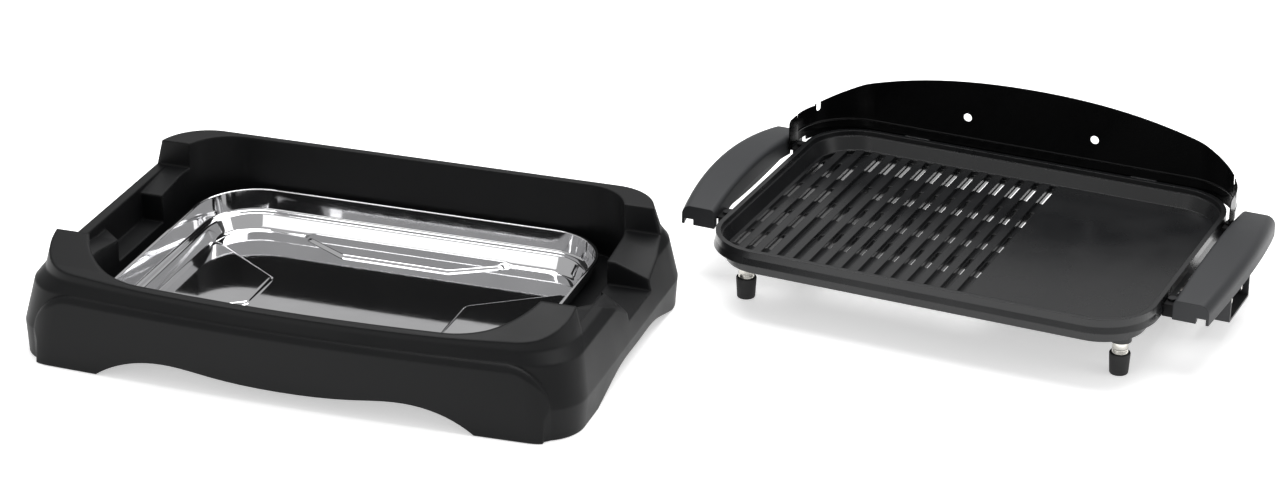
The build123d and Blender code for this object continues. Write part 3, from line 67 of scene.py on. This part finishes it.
def face_along(thing, direction):
    """Turns a camera or a light so that it looks along a direction."""
    thing.rotation_euler = direction.to_track_quat("-Z", "Y").to_euler()


# %% [markdown]
# ## The camera
# The photograph was taken from the front, a little to the right and from above, with a long lens. A camera
# is set by the point it looks at, two angles, a distance and a focal length, so those are the values to read
# here. The focal length was found in pixels of the picture, and the sensor's width turns it into millimetres.

# %% Camera
AIM = Vector((-0.06611, 0.11835, 0.0))
AZIMUTH = math.radians(18.68)
ELEVATION = math.radians(24.96)
DISTANCE = 3.13248
SENSOR_WIDTH = 36.0
FOCAL_PIXELS = 3400.0
PICTURE_PIXELS = 1280.0
away = Vector((
    math.sin(AZIMUTH) * math.cos(ELEVATION),
    -math.cos(AZIMUTH) * math.cos(ELEVATION),
    math.sin(ELEVATION),
))
camera_data = bpy.data.cameras.new("camera")
camera_data.sensor_width = SENSOR_WIDTH
camera_data.sensor_fit = "HORIZONTAL"
camera_data.lens = SENSOR_WIDTH * FOCAL_PIXELS / PICTURE_PIXELS
camera = in_scene("camera", camera_data)
camera.location = AIM + away * DISTANCE
face_along(camera, -away)
bpy.context.scene.camera = camera
print("camera lens", round(camera_data.lens, 1), "mm")

# %% [markdown]
# ## Tools for finishes
# A finish is a small tree of nodes: noise gives the mottling, a colour ramp or a range turns it into colour
# and roughness, and a bump node turns it into relief. All of them read Object coordinates, so a pattern
# keeps its real size. The Bevel node rounds the light over sharp edges, as a moulding or a casting does.

# %% Helpers for finishes
NOISE_LOW = 0.32
NOISE_HIGH = 0.68
FINE_DETAIL = 2.0
BEVEL_SAMPLES = 6
BUMP_STRENGTH = 0.6
COAT_BLOTCH = 0.06
COAT_DETAIL = 3.0


def new_finish(name):
    """An empty finish: its material, node tree, surface shader and object coordinates."""
    material = bpy.data.materials.new(name)
    material.use_nodes = True
    tree = material.node_tree
    place = tree.nodes.new("ShaderNodeTexCoord").outputs["Object"]
    return material, tree, tree.nodes["Principled BSDF"], place


def mottle(tree, place, size, detail=FINE_DETAIL):
    """Noise with blotches of a given size in metres."""
    noise = tree.nodes.new("ShaderNodeTexNoise")
    noise.inputs["Scale"].default_value = 1.0 / size
    noise.inputs["Detail"].default_value = detail
    tree.links.new(place, noise.inputs["Vector"])
    return noise.outputs["Fac"]


def stretched(tree, place, shares):
    """Coordinates scaled along each axis, for grain that runs one way."""
    mapping = tree.nodes.new("ShaderNodeMapping")
    mapping.inputs["Scale"].default_value = shares
    tree.links.new(place, mapping.inputs["Vector"])
    return mapping.outputs["Vector"]


def tint(tree, value, dark, light):
    """Colour between two shades, by a value."""
    ramp = tree.nodes.new("ShaderNodeValToRGB")
    for stop, position, shade in zip(ramp.color_ramp.elements, (NOISE_LOW, NOISE_HIGH), (dark, light)):
        stop.position = position
        stop.color = (*shade, 1.0)
    tree.links.new(value, ramp.inputs["Fac"])
    return ramp.outputs["Color"]


def between(tree, value, low, high):
    """A number between two limits, by a value."""
    span = tree.nodes.new("ShaderNodeMapRange")
    span.inputs["From Min"].default_value = NOISE_LOW
    span.inputs["From Max"].default_value = NOISE_HIGH
    span.inputs["To Min"].default_value = low
    span.inputs["To Max"].default_value = high
    tree.links.new(value, span.inputs["Value"])
    return span.outputs["Result"]


def relief(tree, shader, value, depth, edge):
    """Bump by a value, in metres, over edges whose light is rounded by another length."""
    soft = tree.nodes.new("ShaderNodeBevel")
    soft.samples = BEVEL_SAMPLES
    soft.inputs["Radius"].default_value = edge
    bump = tree.nodes.new("ShaderNodeBump")
    bump.inputs["Strength"].default_value = BUMP_STRENGTH
    bump.inputs["Distance"].default_value = depth
    tree.links.new(value, bump.inputs["Height"])
    tree.links.new(soft.outputs["Normal"], bump.inputs["Normal"])
    tree.links.new(bump.outputs["Normal"], shader.inputs["Normal"])


def mottled_finish(name, dark, light, rough, grain, depth, edge, specular):
    """A finish with slow colour change, a range of roughness, and fine grain in relief."""
    material, tree, shader, place = new_finish(name)
    slow = mottle(tree, place, COAT_BLOTCH, COAT_DETAIL)
    fine = mottle(tree, place, grain)
    tree.links.new(tint(tree, slow, dark, light), shader.inputs["Base Color"])
    tree.links.new(between(tree, slow, *rough), shader.inputs["Roughness"])
    shader.inputs["Specular IOR Level"].default_value = specular
    relief(tree, shader, fine, depth, edge)
    return material


# %% [markdown]
# ## Finishes of this grill
# The base is black plastic with a fine spark-eroded grain. The plate has a black non-stick coat with a soft
# sheen, the windshield is glossy black, the handles are satin grey-black, and the tray is bright polished
# sheet.

# %% Black plastic, coat, enamel, handles and rubber
base_plastic = mottled_finish(
    "base_plastic", dark=(0.0044, 0.0046, 0.0050), light=(0.0056, 0.0058, 0.0062),
    rough=(0.40, 0.48), grain=0.0005, depth=0.00006, edge=0.0035, specular=0.17,
)
plate_coat = mottled_finish(
    "plate_coat", dark=(0.0066, 0.0069, 0.0076), light=(0.0098, 0.0101, 0.0108),
    rough=(0.24, 0.32), grain=0.0007, depth=0.00006, edge=0.0009, specular=0.46,
)
shield_enamel = mottled_finish(
    "shield_enamel", dark=(0.0012, 0.0013, 0.0014), light=(0.0018, 0.0019, 0.002),
    rough=(0.16, 0.22), grain=0.003, depth=0.00002, edge=0.0006, specular=0.16,
)
handle_satin = mottled_finish(
    "handle_satin", dark=(0.020, 0.021, 0.023), light=(0.024, 0.025, 0.027),
    rough=(0.46, 0.54), grain=0.0004, depth=0.00005, edge=0.0012, specular=0.30,
)
grip_satin = mottled_finish(
    "grip_satin", dark=(0.016, 0.017, 0.018), light=(0.020, 0.021, 0.022),
    rough=(0.42, 0.5), grain=0.0005, depth=0.00005, edge=0.001, specular=0.36,
)
foot_rubber = mottled_finish(
    "foot_rubber", dark=(0.012, 0.012, 0.0125), light=(0.018, 0.018, 0.0185),
    rough=(0.6, 0.72), grain=0.0008, depth=0.0001, edge=0.0009, specular=0.4,
)
black_bar = mottled_finish(
    "black_bar", dark=(0.004, 0.004, 0.0045), light=(0.006, 0.006, 0.0065),
    rough=(0.5, 0.6), grain=0.0008, depth=0.00005, edge=0.0006, specular=0.15,
)
shroud_paint = mottled_finish(
    "shroud_paint", dark=(0.022, 0.023, 0.025), light=(0.028, 0.029, 0.031),
    rough=(0.36, 0.46), grain=0.0006, depth=0.00004, edge=0.0005, specular=0.5,
)
terminal_dark = mottled_finish(
    "terminal_dark", dark=(0.01, 0.01, 0.01), light=(0.016, 0.015, 0.014),
    rough=(0.5, 0.62), grain=0.0007, depth=0.00006, edge=0.0004, specular=0.4,
)
print("dark finishes made")

# %% [markdown]
# Metal takes its colour from its reflections, so its tree is mostly about roughness. The tray is nearly a
# mirror with a faint rolling grain, the sleeves are turned and nickelled, and the element is drawn tube
# darkened by heat.

# %% Metals
METAL_BLOTCH = 0.05
METAL_DETAIL = 4.0


def grained_metal(name, dark, light, rough, shares, grain, depth, edge):
    """Bare metal whose grain runs along one axis."""
    material, tree, shader, place = new_finish(name)
    run = mottle(tree, stretched(tree, place, shares), grain, METAL_DETAIL)
    slow = mottle(tree, place, METAL_BLOTCH)
    tree.links.new(tint(tree, slow, dark, light), shader.inputs["Base Color"])
    tree.links.new(between(tree, run, *rough), shader.inputs["Roughness"])
    shader.inputs["Metallic"].default_value = 1.0
    relief(tree, shader, run, depth, edge)
    return material


tray_bright = grained_metal(
    "tray_bright", dark=(0.66, 0.66, 0.67), light=(0.70, 0.70, 0.71), rough=(0.03, 0.07),
    shares=(0.08, 1.0, 1.0), grain=0.0012, depth=0.000001, edge=0.0002,
)
sleeve_nickel = grained_metal(
    "sleeve_nickel", dark=(0.66, 0.64, 0.59), light=(0.74, 0.72, 0.67), rough=(0.16, 0.3),
    shares=(0.05, 0.05, 1.0), grain=0.0006, depth=0.00001, edge=0.0003,
)
pin_nickel = grained_metal(
    "pin_nickel", dark=(0.74, 0.72, 0.68), light=(0.8, 0.78, 0.74), rough=(0.14, 0.24),
    shares=(1.0, 0.1, 0.1), grain=0.0005, depth=0.00001, edge=0.0003,
)
element_tube = grained_metal(
    "element_tube", dark=(0.20, 0.18, 0.17), light=(0.32, 0.30, 0.28), rough=(0.34, 0.5),
    shares=(0.1, 1.0, 1.0), grain=0.001, depth=0.00002, edge=0.0003,
)
clip_steel = grained_metal(
    "clip_steel", dark=(0.42, 0.42, 0.43), light=(0.5, 0.5, 0.51), rough=(0.3, 0.42),
    shares=(0.1, 1.0, 1.0), grain=0.0008, depth=0.00002, edge=0.0003,
)
screw_dark = grained_metal(
    "screw_dark", dark=(0.03, 0.03, 0.031), light=(0.05, 0.05, 0.052), rough=(0.4, 0.5),
    shares=(1.0, 1.0, 0.2), grain=0.0006, depth=0.00002, edge=0.0003,
)
print("metal finishes made")

# %% [markdown]
# ## Which piece has which finish
# Every node of the frame gets its finish by name. Replaced nodes get one too, so nothing is left with a
# plain colour.

# %% Finish every node
NODE_FINISHES = {
    "base_frame": base_plastic,
    "base_foot_pads": foot_rubber,
    "drip_tray": tray_bright,
    "grill_plate": plate_coat,
    "handle_lugs": black_bar,
    "heating_element": element_tube,
    "windshield": shield_enamel,
    "windshield_clip_left": clip_steel,
    "windshield_clip_right": clip_steel,
    "clip_rivets": clip_steel,
    "foot_screws": screw_dark,
    "bracket_screws": screw_dark,
    "handle_screws": screw_dark,
    "inlet_screws": screw_dark,
    "inlet_shroud": shroud_paint,
    "inlet_bracket": clip_steel,
    "terminal_insulator": terminal_dark,
    "contact_pin_front": pin_nickel,
    "contact_pin_rear": pin_nickel,
    "probe_tube": element_tube,
    "earth_strip": pin_nickel,
}
NAME_PARTS = (
    ("foot_sleeve_", sleeve_nickel),
    ("foot_cap_", foot_rubber),
    ("_handle_cover", handle_satin),
    ("_handle_grip", grip_satin),
    ("_bracket", black_bar),
)


def finish_of(name):
    """The finish of a node, by its name or by a part of it."""
    if name in NODE_FINISHES:
        return NODE_FINISHES[name]
    return next(finish for part, finish in NAME_PARTS if part in name)


for name, node in nodes.items():
    node.data.materials.clear()
    node.data.materials.append(finish_of(name))
print("nodes finished:", len(nodes))


# %% [markdown]
# ## From work meshes to pieces
# A shape is built in a work mesh, turned into a smooth mesh, and given its modifiers, which are then baked
# into it. A kept piece is attached to the body it rides on, and the nodes it replaces are hidden.

# %% Helpers for pieces
def smooth_mesh(work, name):
    """A mesh with smooth faces from a work mesh, which is freed."""
    mesh = bpy.data.meshes.new(name)
    work.to_mesh(mesh)
    work.free()
    mesh.polygons.foreach_set("use_smooth", [True] * len(mesh.polygons))
    return mesh


def baked(holder):
    """The mesh of an object after its modifiers. The object is removed."""
    graph = bpy.context.evaluated_depsgraph_get()
    result = bpy.data.meshes.new_from_object(holder.evaluated_get(graph))
    result.name = holder.name
    bpy.data.objects.remove(holder)
    return result


def keep(name, mesh, body, slot, *replaced):
    """A finished mesh as a piece that rides on a body and stands for nodes."""
    piece = in_scene(name, mesh)
    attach(piece, body)
    if replaced:
        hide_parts(*replaced)
    print(name, "faces", len(mesh.polygons))


# %% [markdown]
# ## The tray: a section drawn round a path
# The real tray is one pressed sheet: a turned-over rim, a steep upper wall, a narrow ledge, a lower wall and
# a floor with four low raised panels. A solid with sharp creases would break up the reflections, so the wall
# is made as a rounded section carried round a rounded rectangle, and the floor is filled in as a mesh that
# rises over the panels. The tray is drawn about its own middle and then moved to where the solid stands.

# %% Rounded section of the tray wall
tray_low, tray_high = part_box("drip_tray")
TRAY_MIDDLE = (tray_low + tray_high) / 2
SHEET = 0.0008
RIM_Z = tray_high.z
FLOOR_Z = tray_low.z + SHEET
RIM_LIP = 0.0024
RIM_WIDTH = 0.0030
LEDGE_OUTSIDE = (0.0070, 0.0190)
LEDGE_INSIDE = (0.0130, 0.0196)
WALL_END = 0.0190
SECTION_END = 0.0270
SECTION_RADII = [0.0010, 0.0012, 0.0028, 0.0026, 0.0055]
SECTION_STEPS = 8


def rounded_line(points, radii, steps):
    """A line through points whose inner corners are turned into arcs of given radii."""
    line = [Vector(points[0])]
    for before, corner, after, radius in zip(points, points[1:], points[2:], radii):
        corner = Vector(corner)
        into = (Vector(before) - corner).normalized()
        out = (Vector(after) - corner).normalized()
        half = into.angle(out) / 2
        reach = radius / math.tan(half)
        centre = corner + (into + out).normalized() * (radius / math.sin(half))
        start = corner + into * reach - centre
        end = corner + out * reach - centre
        sweep = math.copysign(math.pi - 2 * half, start.x * end.y - start.y * end.x)
        for k in range(steps + 1):
            line.append(centre + Matrix.Rotation(sweep * k / steps, 2) @ start)
    line.append(Vector(points[-1]))
    return line


section = rounded_line(
    [
        (0.0, RIM_Z - RIM_LIP),
        (0.0, RIM_Z),
        (RIM_WIDTH, RIM_Z),
        (LEDGE_OUTSIDE[0], RIM_Z - LEDGE_OUTSIDE[1]),
        (LEDGE_INSIDE[0], RIM_Z - LEDGE_INSIDE[1]),
        (WALL_END, FLOOR_Z),
        (SECTION_END, FLOOR_Z),
    ],
    SECTION_RADII,
    SECTION_STEPS,
)
print("tray middle", [round(v, 4) for v in TRAY_MIDDLE], "points in the section:", len(section))

# %% Rings of the wall
TRAY_HALF = ((tray_high.x - tray_low.x) / 2, (tray_high.y - tray_low.y) / 2)
TRAY_CORNER = 0.057
STRAIGHT = (TRAY_HALF[0] - TRAY_CORNER, TRAY_HALF[1] - TRAY_CORNER)
QUARTERS = ((1, 1), (-1, 1), (-1, -1), (1, -1))
ARC_STEPS = 16
SIDE_STEP = 0.0025


def joined(arcs):
    """A closed line through arcs, with points close together on the straights between them."""
    line = []
    for arc, following in zip(arcs, arcs[1:] + arcs[:1]):
        count = max(round((following[0] - arc[-1]).length / SIDE_STEP), 1)
        line += arc
        line += [arc[-1].lerp(following[0], step / count) for step in range(1, count)]
    return line


def rounded_ring(inset):
    """Points of the tray's outline, set inwards, counter-clockwise."""
    radius = TRAY_CORNER - inset
    arcs = []
    for k, (x, y) in enumerate(QUARTERS):
        centre = Vector((x * STRAIGHT[0], y * STRAIGHT[1]))
        turns = [math.pi / 2 * (k + step / ARC_STEPS) for step in range(ARC_STEPS + 1)]
        arcs.append([centre + radius * Vector((math.cos(turn), math.sin(turn))) for turn in turns])
    return joined(arcs)


def tray_wall(work):
    """Adds the wall to a mesh and returns its innermost ring."""
    rows = []
    for inset, z in section:
        rows.append([work.verts.new((x, y, z)) for x, y in rounded_ring(inset)])
    for outer, inner in zip(rows, rows[1:]):
        for k in range(len(outer)):
            following = (k + 1) % len(outer)
            work.faces.new((outer[k], outer[following], inner[following], inner[k]))
    return rows[-1]


# %% [markdown]
# Each raised panel is a trapezoid with round corners, given by the width at its root, the width at its tip
# and its reach from the wall. The floor rises over a short slope along its edge.

# %% Raised panels of the floor
PANEL_RISE = 0.0026
PANEL_SLOPE = 0.0032
PANEL_CORNER = 0.009
LONG_PANEL = (0.246, 0.104, 0.040)
SIDE_PANEL = (0.177, 0.056, 0.0895)
WALL_FOOT = 0.013


def leftward(step):
    """The unit direction to the left of a step."""
    return Vector((-step.y, step.x)).normalized()


def neighbours(corners):
    """Each corner with the one before and the one after it."""
    return zip(corners[-1:] + corners[:-1], corners, corners[1:] + corners[:1])


def clamped(share):
    """A share held between nothing and the whole."""
    return min(max(share, 0.0), 1.0)


def set_in(corners):
    """The corners of a trapezoid set in by the radius of its corners."""
    inner = []
    for before, corner, after in neighbours(corners):
        one, two = leftward(corner - before), leftward(after - corner)
        inner.append(corner + (one + two) * PANEL_CORNER / (1 + one.dot(two)))
    return inner


def panel_corners():
    """The four trapezoids, wide end at the wall, counter-clockwise and set in."""
    panels = []
    for (root, tip, reach), distance, turns in (
        (LONG_PANEL, TRAY_HALF[1] - WALL_FOOT, (0.0, math.pi)),
        (SIDE_PANEL, TRAY_HALF[0] - WALL_FOOT, (math.pi / 2, -math.pi / 2)),
    ):
        near = distance - reach
        flat = [(-root / 2, distance), (-tip / 2, near), (tip / 2, near), (root / 2, distance)]
        for turn in turns:
            panels.append(set_in([Matrix.Rotation(turn, 2) @ Vector(point) for point in flat]))
    return panels


PANELS = panel_corners()


def panel_depth(panel, place):
    """How far a point lies inside a panel with round corners; negative outside."""
    inside = True
    reach = math.inf
    for a, b in zip(panel, panel[1:] + panel[:1]):
        share = clamped((place - a).dot(b - a) / (b - a).length_squared)
        reach = min(reach, (place - a.lerp(b, share)).length)
        inside = inside and leftward(b - a).dot(place - a) > 0
    return PANEL_CORNER + reach if inside else PANEL_CORNER - reach


def panel_height(place):
    """The floor's rise at a place: a soft step at the panels' edges."""
    depth = max(panel_depth(panel, place) for panel in PANELS)
    share = clamped(depth / PANEL_SLOPE)
    return PANEL_RISE * share * share * (3 - 2 * share)


print("panels:", len(PANELS))

# %% Floor of the tray
FLOOR_RING_STEP = 0.001
FLOOR_EDGE = section[-1][0] + FLOOR_RING_STEP
STEP_LEVELS = (-0.3, 0.0, 0.2, 0.4, 0.6, 0.8, 1.0, 1.3)
PANEL_ARC_STEPS = 8
TINY = 1e-7
FILL_INSIDE = 1


def panel_line(panel, depth):
    """The closed line at one depth inside a panel."""
    arcs = []
    for before, corner, after in neighbours(panel):
        first, last = -leftward(corner - before), -leftward(after - corner)
        shares = [step / PANEL_ARC_STEPS for step in range(PANEL_ARC_STEPS + 1)]
        headings = [first.lerp(last, share).normalized() for share in shares]
        arcs.append([corner + heading * (PANEL_CORNER - depth) for heading in headings])
    return joined(arcs)


def on_floor(place):
    """Whether a point lies on the flat of the floor."""
    over = Vector((max(abs(place.x) - STRAIGHT[0], 0.0), max(abs(place.y) - STRAIGHT[1], 0.0)))
    return over.length < TRAY_CORNER - FLOOR_EDGE


def floor_points(ring):
    """The wall's last ring, a ring just inside it and the panels' lines, with the edges along them."""
    rings = [[vert.co.xy for vert in ring], rounded_ring(FLOOR_EDGE)]
    lines = rings + [panel_line(panel, level * PANEL_SLOPE) for panel in PANELS for level in STEP_LEVELS]
    points, edges = [], []
    for k, line in enumerate(lines):
        kept = [k < len(rings) or on_floor(place) for place in line]
        spots = [len(points) + sum(kept[:j]) for j in range(len(line))]
        points += [place for place, use in zip(line, kept) if use]
        for j in range(len(line)):
            if kept[j] and kept[j - 1]:
                edges.append((spots[j - 1], spots[j]))
    return points, edges


def tray_floor(work, ring):
    """Fills the wall's innermost ring with flat triangles that follow the panels' edges."""
    points, edges = floor_points(ring)
    made, _, faces, origins, _, _ = delaunay_2d_cdt(points, edges, [], FILL_INSIDE, TINY)
    verts = []
    for place, origin in zip(made, origins):
        known = [k for k in origin if k < len(ring)]
        verts.append(ring[known[0]] if known else work.verts.new((place.x, place.y, FLOOR_Z)))
    for face in faces:
        work.faces.new([verts[k] for k in face])
    print("floor faces:", len(faces))


# %% The tray as one bent sheet
SAME_POINT = 1e-6


def tray_mesh():
    """The wall and the floor, raised over the panels, without thickness."""
    work = bmesh.new()
    ring = tray_wall(work)
    tray_floor(work, ring)
    for vert in work.verts:
        vert.co.z = max(vert.co.z, FLOOR_Z + panel_height(vert.co.xy))
    bmesh.ops.remove_doubles(work, verts=work.verts, dist=SAME_POINT)
    bmesh.ops.recalc_face_normals(work, faces=work.faces)
    if max(work.faces, key=lambda face: face.calc_area()).normal.z < 0:
        bmesh.ops.reverse_faces(work, faces=work.faces)
    loose = [vert for vert in work.verts if not vert.link_faces]
    bmesh.ops.delete(work, geom=loose, context="VERTS")
    bmesh.ops.translate(work, verts=work.verts, vec=(TRAY_MIDDLE.x, TRAY_MIDDLE.y, 0.0))
    mesh = smooth_mesh(work, "tray_sheet")
    mesh.materials.append(tray_bright)
    return mesh


def thickened(name, mesh, thickness):
    """A sheet of a given thickness whose upper face is the mesh."""
    holder = in_scene(name, mesh)
    modifier = holder.modifiers.new("solidify", "SOLIDIFY")
    modifier.thickness = thickness
    modifier.offset = -1.0
    modifier.use_even_offset = True
    modifier.use_quality_normals = True
    return baked(holder)


keep("bright_tray", thickened("bright_tray", tray_mesh(), SHEET), "tray", "tray_steel", "drip_tray")


# %% [markdown]
# ## Feet of the plate
# Each foot is a nickel sleeve in a rubber cap. Both are turned shapes, so one profile is spun once and
# Geometry Nodes sets a copy of it at each of the four places.

# %% Turned shapes
def turned(name, profile, steps):
    """A closed shape spun from (radius, height) points about the upright axis."""
    work = bmesh.new()
    rows = []
    for k in range(steps):
        angle = math.tau * k / steps
        rows.append([work.verts.new((r * math.cos(angle), r * math.sin(angle), z)) for r, z in profile])
    for row, following in zip(rows, rows[1:] + rows[:1]):
        for k in range(len(profile) - 1):
            work.faces.new((row[k], following[k], following[k + 1], row[k + 1]))
    bmesh.ops.remove_doubles(work, verts=work.verts, dist=TINY)
    bmesh.ops.dissolve_degenerate(work, edges=work.edges, dist=TINY)
    bmesh.ops.recalc_face_normals(work, faces=work.faces)
    return smooth_mesh(work, name)


# %% Copies at places
def places_tree(name, material):
    """Geometry Nodes that set a shape at each point, real and with its material."""
    tree = bpy.data.node_groups.new(name, "GeometryNodeTree")
    face = tree.interface
    face.new_socket("Places", in_out="INPUT", socket_type="NodeSocketGeometry")
    shape = face.new_socket("Shape", in_out="INPUT", socket_type="NodeSocketObject")
    face.new_socket("Copies", in_out="OUTPUT", socket_type="NodeSocketGeometry")
    start = tree.nodes.new("NodeGroupInput")
    end = tree.nodes.new("NodeGroupOutput")
    source = tree.nodes.new("GeometryNodeObjectInfo")
    instance = tree.nodes.new("GeometryNodeInstanceOnPoints")
    real = tree.nodes.new("GeometryNodeRealizeInstances")
    paint = tree.nodes.new("GeometryNodeSetMaterial")
    paint.inputs["Material"].default_value = material
    link = tree.links.new
    link(start.outputs["Places"], instance.inputs["Points"])
    link(start.outputs["Shape"], source.inputs["Object"])
    link(source.outputs["Geometry"], instance.inputs["Instance"])
    link(instance.outputs["Instances"], real.inputs["Geometry"])
    link(real.outputs["Geometry"], paint.inputs["Geometry"])
    link(paint.outputs["Geometry"], end.inputs["Copies"])
    return tree, shape.identifier


def copies(name, mesh, places, material):
    """One mesh with a copy of a shape at every place."""
    shape = in_scene(name + "_shape", mesh)
    cloud = bpy.data.meshes.new(name + "_places")
    cloud.from_pydata([tuple(place) for place in places], [], [])
    holder = in_scene(name, cloud)
    tree, shape_socket = places_tree(name + "_tree", material)
    modifier = holder.modifiers.new("copies", "NODES")
    modifier.node_group = tree
    modifier[shape_socket] = shape
    result = baked(holder)
    bpy.data.objects.remove(shape)
    print(name, "copies:", len(places))
    return result


# %% [markdown]
# The sleeve has soft edges and a groove a little above the cap. The cap has a rounded sole, a rounded
# shoulder and a mouth that opens round the sleeve. Radii and heights are read from the solids.

# %% Sleeves and caps
CORNERS = ("front_left", "front_right", "rear_left", "rear_right")
SPIN_STEPS = 48
SLEEVE_EDGE = 0.0006
GROOVE_DEPTH = 0.0005
GROOVE_HEIGHTS = (0.0022, 0.0027, 0.0034, 0.0039)
CAP_SOLE = ((0.0, 0.0), (0.0070, 0.0), (0.0078, 0.0003), (0.0082, 0.0011))
CAP_SHOULDER = ((0.0003, 0.0012), (0.0007, 0.0003), (0.0013, 0.0))
CAP_MOUTH = ((0.0004, 0.0), (0.0001, 0.0008))
CAP_SLACK = 0.0001
sleeve_low, sleeve_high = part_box("foot_sleeve_front_left")
cap_low, cap_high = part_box("foot_cap_front_left")
sleeve_radius = (sleeve_high.x - sleeve_low.x) / 2
cap_radius = (cap_high.x - cap_low.x) / 2


def foot_spot(corner):
    """Where a foot stands on the ground, from the box of its cap."""
    low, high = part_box("foot_cap_" + corner)
    return (low + high) / 2 * Vector((1.0, 1.0, 0.0))


foot_spots = [foot_spot(corner) for corner in CORNERS]
groove_low, groove_in, groove_out, groove_high = [cap_high.z + height for height in GROOVE_HEIGHTS]
sleeve_profile = [
    (0.0, sleeve_low.z),
    (sleeve_radius - SLEEVE_EDGE, sleeve_low.z),
    (sleeve_radius, sleeve_low.z + SLEEVE_EDGE),
    (sleeve_radius, groove_low),
    (sleeve_radius - GROOVE_DEPTH, groove_in),
    (sleeve_radius - GROOVE_DEPTH, groove_out),
    (sleeve_radius, groove_high),
    (sleeve_radius, sleeve_high.z - SLEEVE_EDGE),
    (sleeve_radius - SLEEVE_EDGE, sleeve_high.z),
    (0.0, sleeve_high.z),
]
cap_profile = [
    *CAP_SOLE,
    *[(cap_radius - inset, cap_high.z - drop) for inset, drop in CAP_SHOULDER],
    *[(sleeve_radius + gap, cap_high.z - drop) for gap, drop in CAP_MOUTH],
    (sleeve_radius + CAP_SLACK, sleeve_low.z),
    (0.0, sleeve_low.z),
]
for name, profile, material, slot, stem in (
    ("foot_sleeves", sleeve_profile, sleeve_nickel, "sleeve_nickel", "foot_sleeve_"),
    ("foot_caps", cap_profile, foot_rubber, "rubber", "foot_cap_"),
):
    mesh = copies(name, turned(name + "_one", profile, SPIN_STEPS), foot_spots, material)
    keep(name, mesh, "plate", slot, *[stem + corner for corner in CORNERS])

# %% [markdown]
# ## The studio
# A pale floor that glows a little, as a light table does, and soft light from large panels: one overhead for
# the tops, one from the right for the side faces, and a weak one in front.

# %% Floor
WHITE = (1.0, 1.0, 1.0, 1.0)
FLOOR_HALF = 14.0
FLOOR_GLOW = 0.5
floor_mesh = bpy.data.meshes.new("studio_floor")
floor_mesh.from_pydata([(x * FLOOR_HALF, y * FLOOR_HALF, 0.0) for x, y in QUARTERS], [], [(0, 1, 2, 3)])
floor_finish = mottled_finish(
    "studio_paper", dark=(0.88, 0.88, 0.88), light=(0.90, 0.90, 0.90),
    rough=(0.8, 0.9), grain=0.004, depth=0.00001, edge=0.0001, specular=0.2,
)
floor_shader = floor_finish.node_tree.nodes["Principled BSDF"]
floor_shader.inputs["Emission Color"].default_value = WHITE
floor_shader.inputs["Emission Strength"].default_value = FLOOR_GLOW
floor_mesh.materials.append(floor_finish)
studio_floor = in_scene("studio_floor", floor_mesh)

# %% Light
WORLD_GLOW = 0.55


def panel_light(name, place, target, size, power):
    """A soft rectangular light that faces a point."""
    data = bpy.data.lights.new(name, "AREA")
    data.shape = "RECTANGLE"
    data.size, data.size_y = size
    data.energy = power
    light = in_scene(name, data)
    light.location = place
    face_along(light, Vector(target) - Vector(place))


panel_light("overhead", place=(0.0, 0.5, 2.2), target=(0.0, 0.0, 0.0), size=(2.6, 1.8), power=66.0)
panel_light("right_side", place=(2.4, 0.1, 1.1), target=(0.2, 0.0, 0.05), size=(1.4, 1.2), power=9.0)
panel_light("front_fill", place=(-1.2, -2.6, 1.4), target=(-0.1, 0.0, 0.0), size=(1.6, 1.0), power=5.0)
world = bpy.data.worlds.new("studio")
world.use_nodes = True
world.node_tree.nodes["Background"].inputs["Color"].default_value = WHITE
world.node_tree.nodes["Background"].inputs["Strength"].default_value = WORLD_GLOW
bpy.context.scene.world = world
bpy.context.scene.view_settings.view_transform = "Standard"
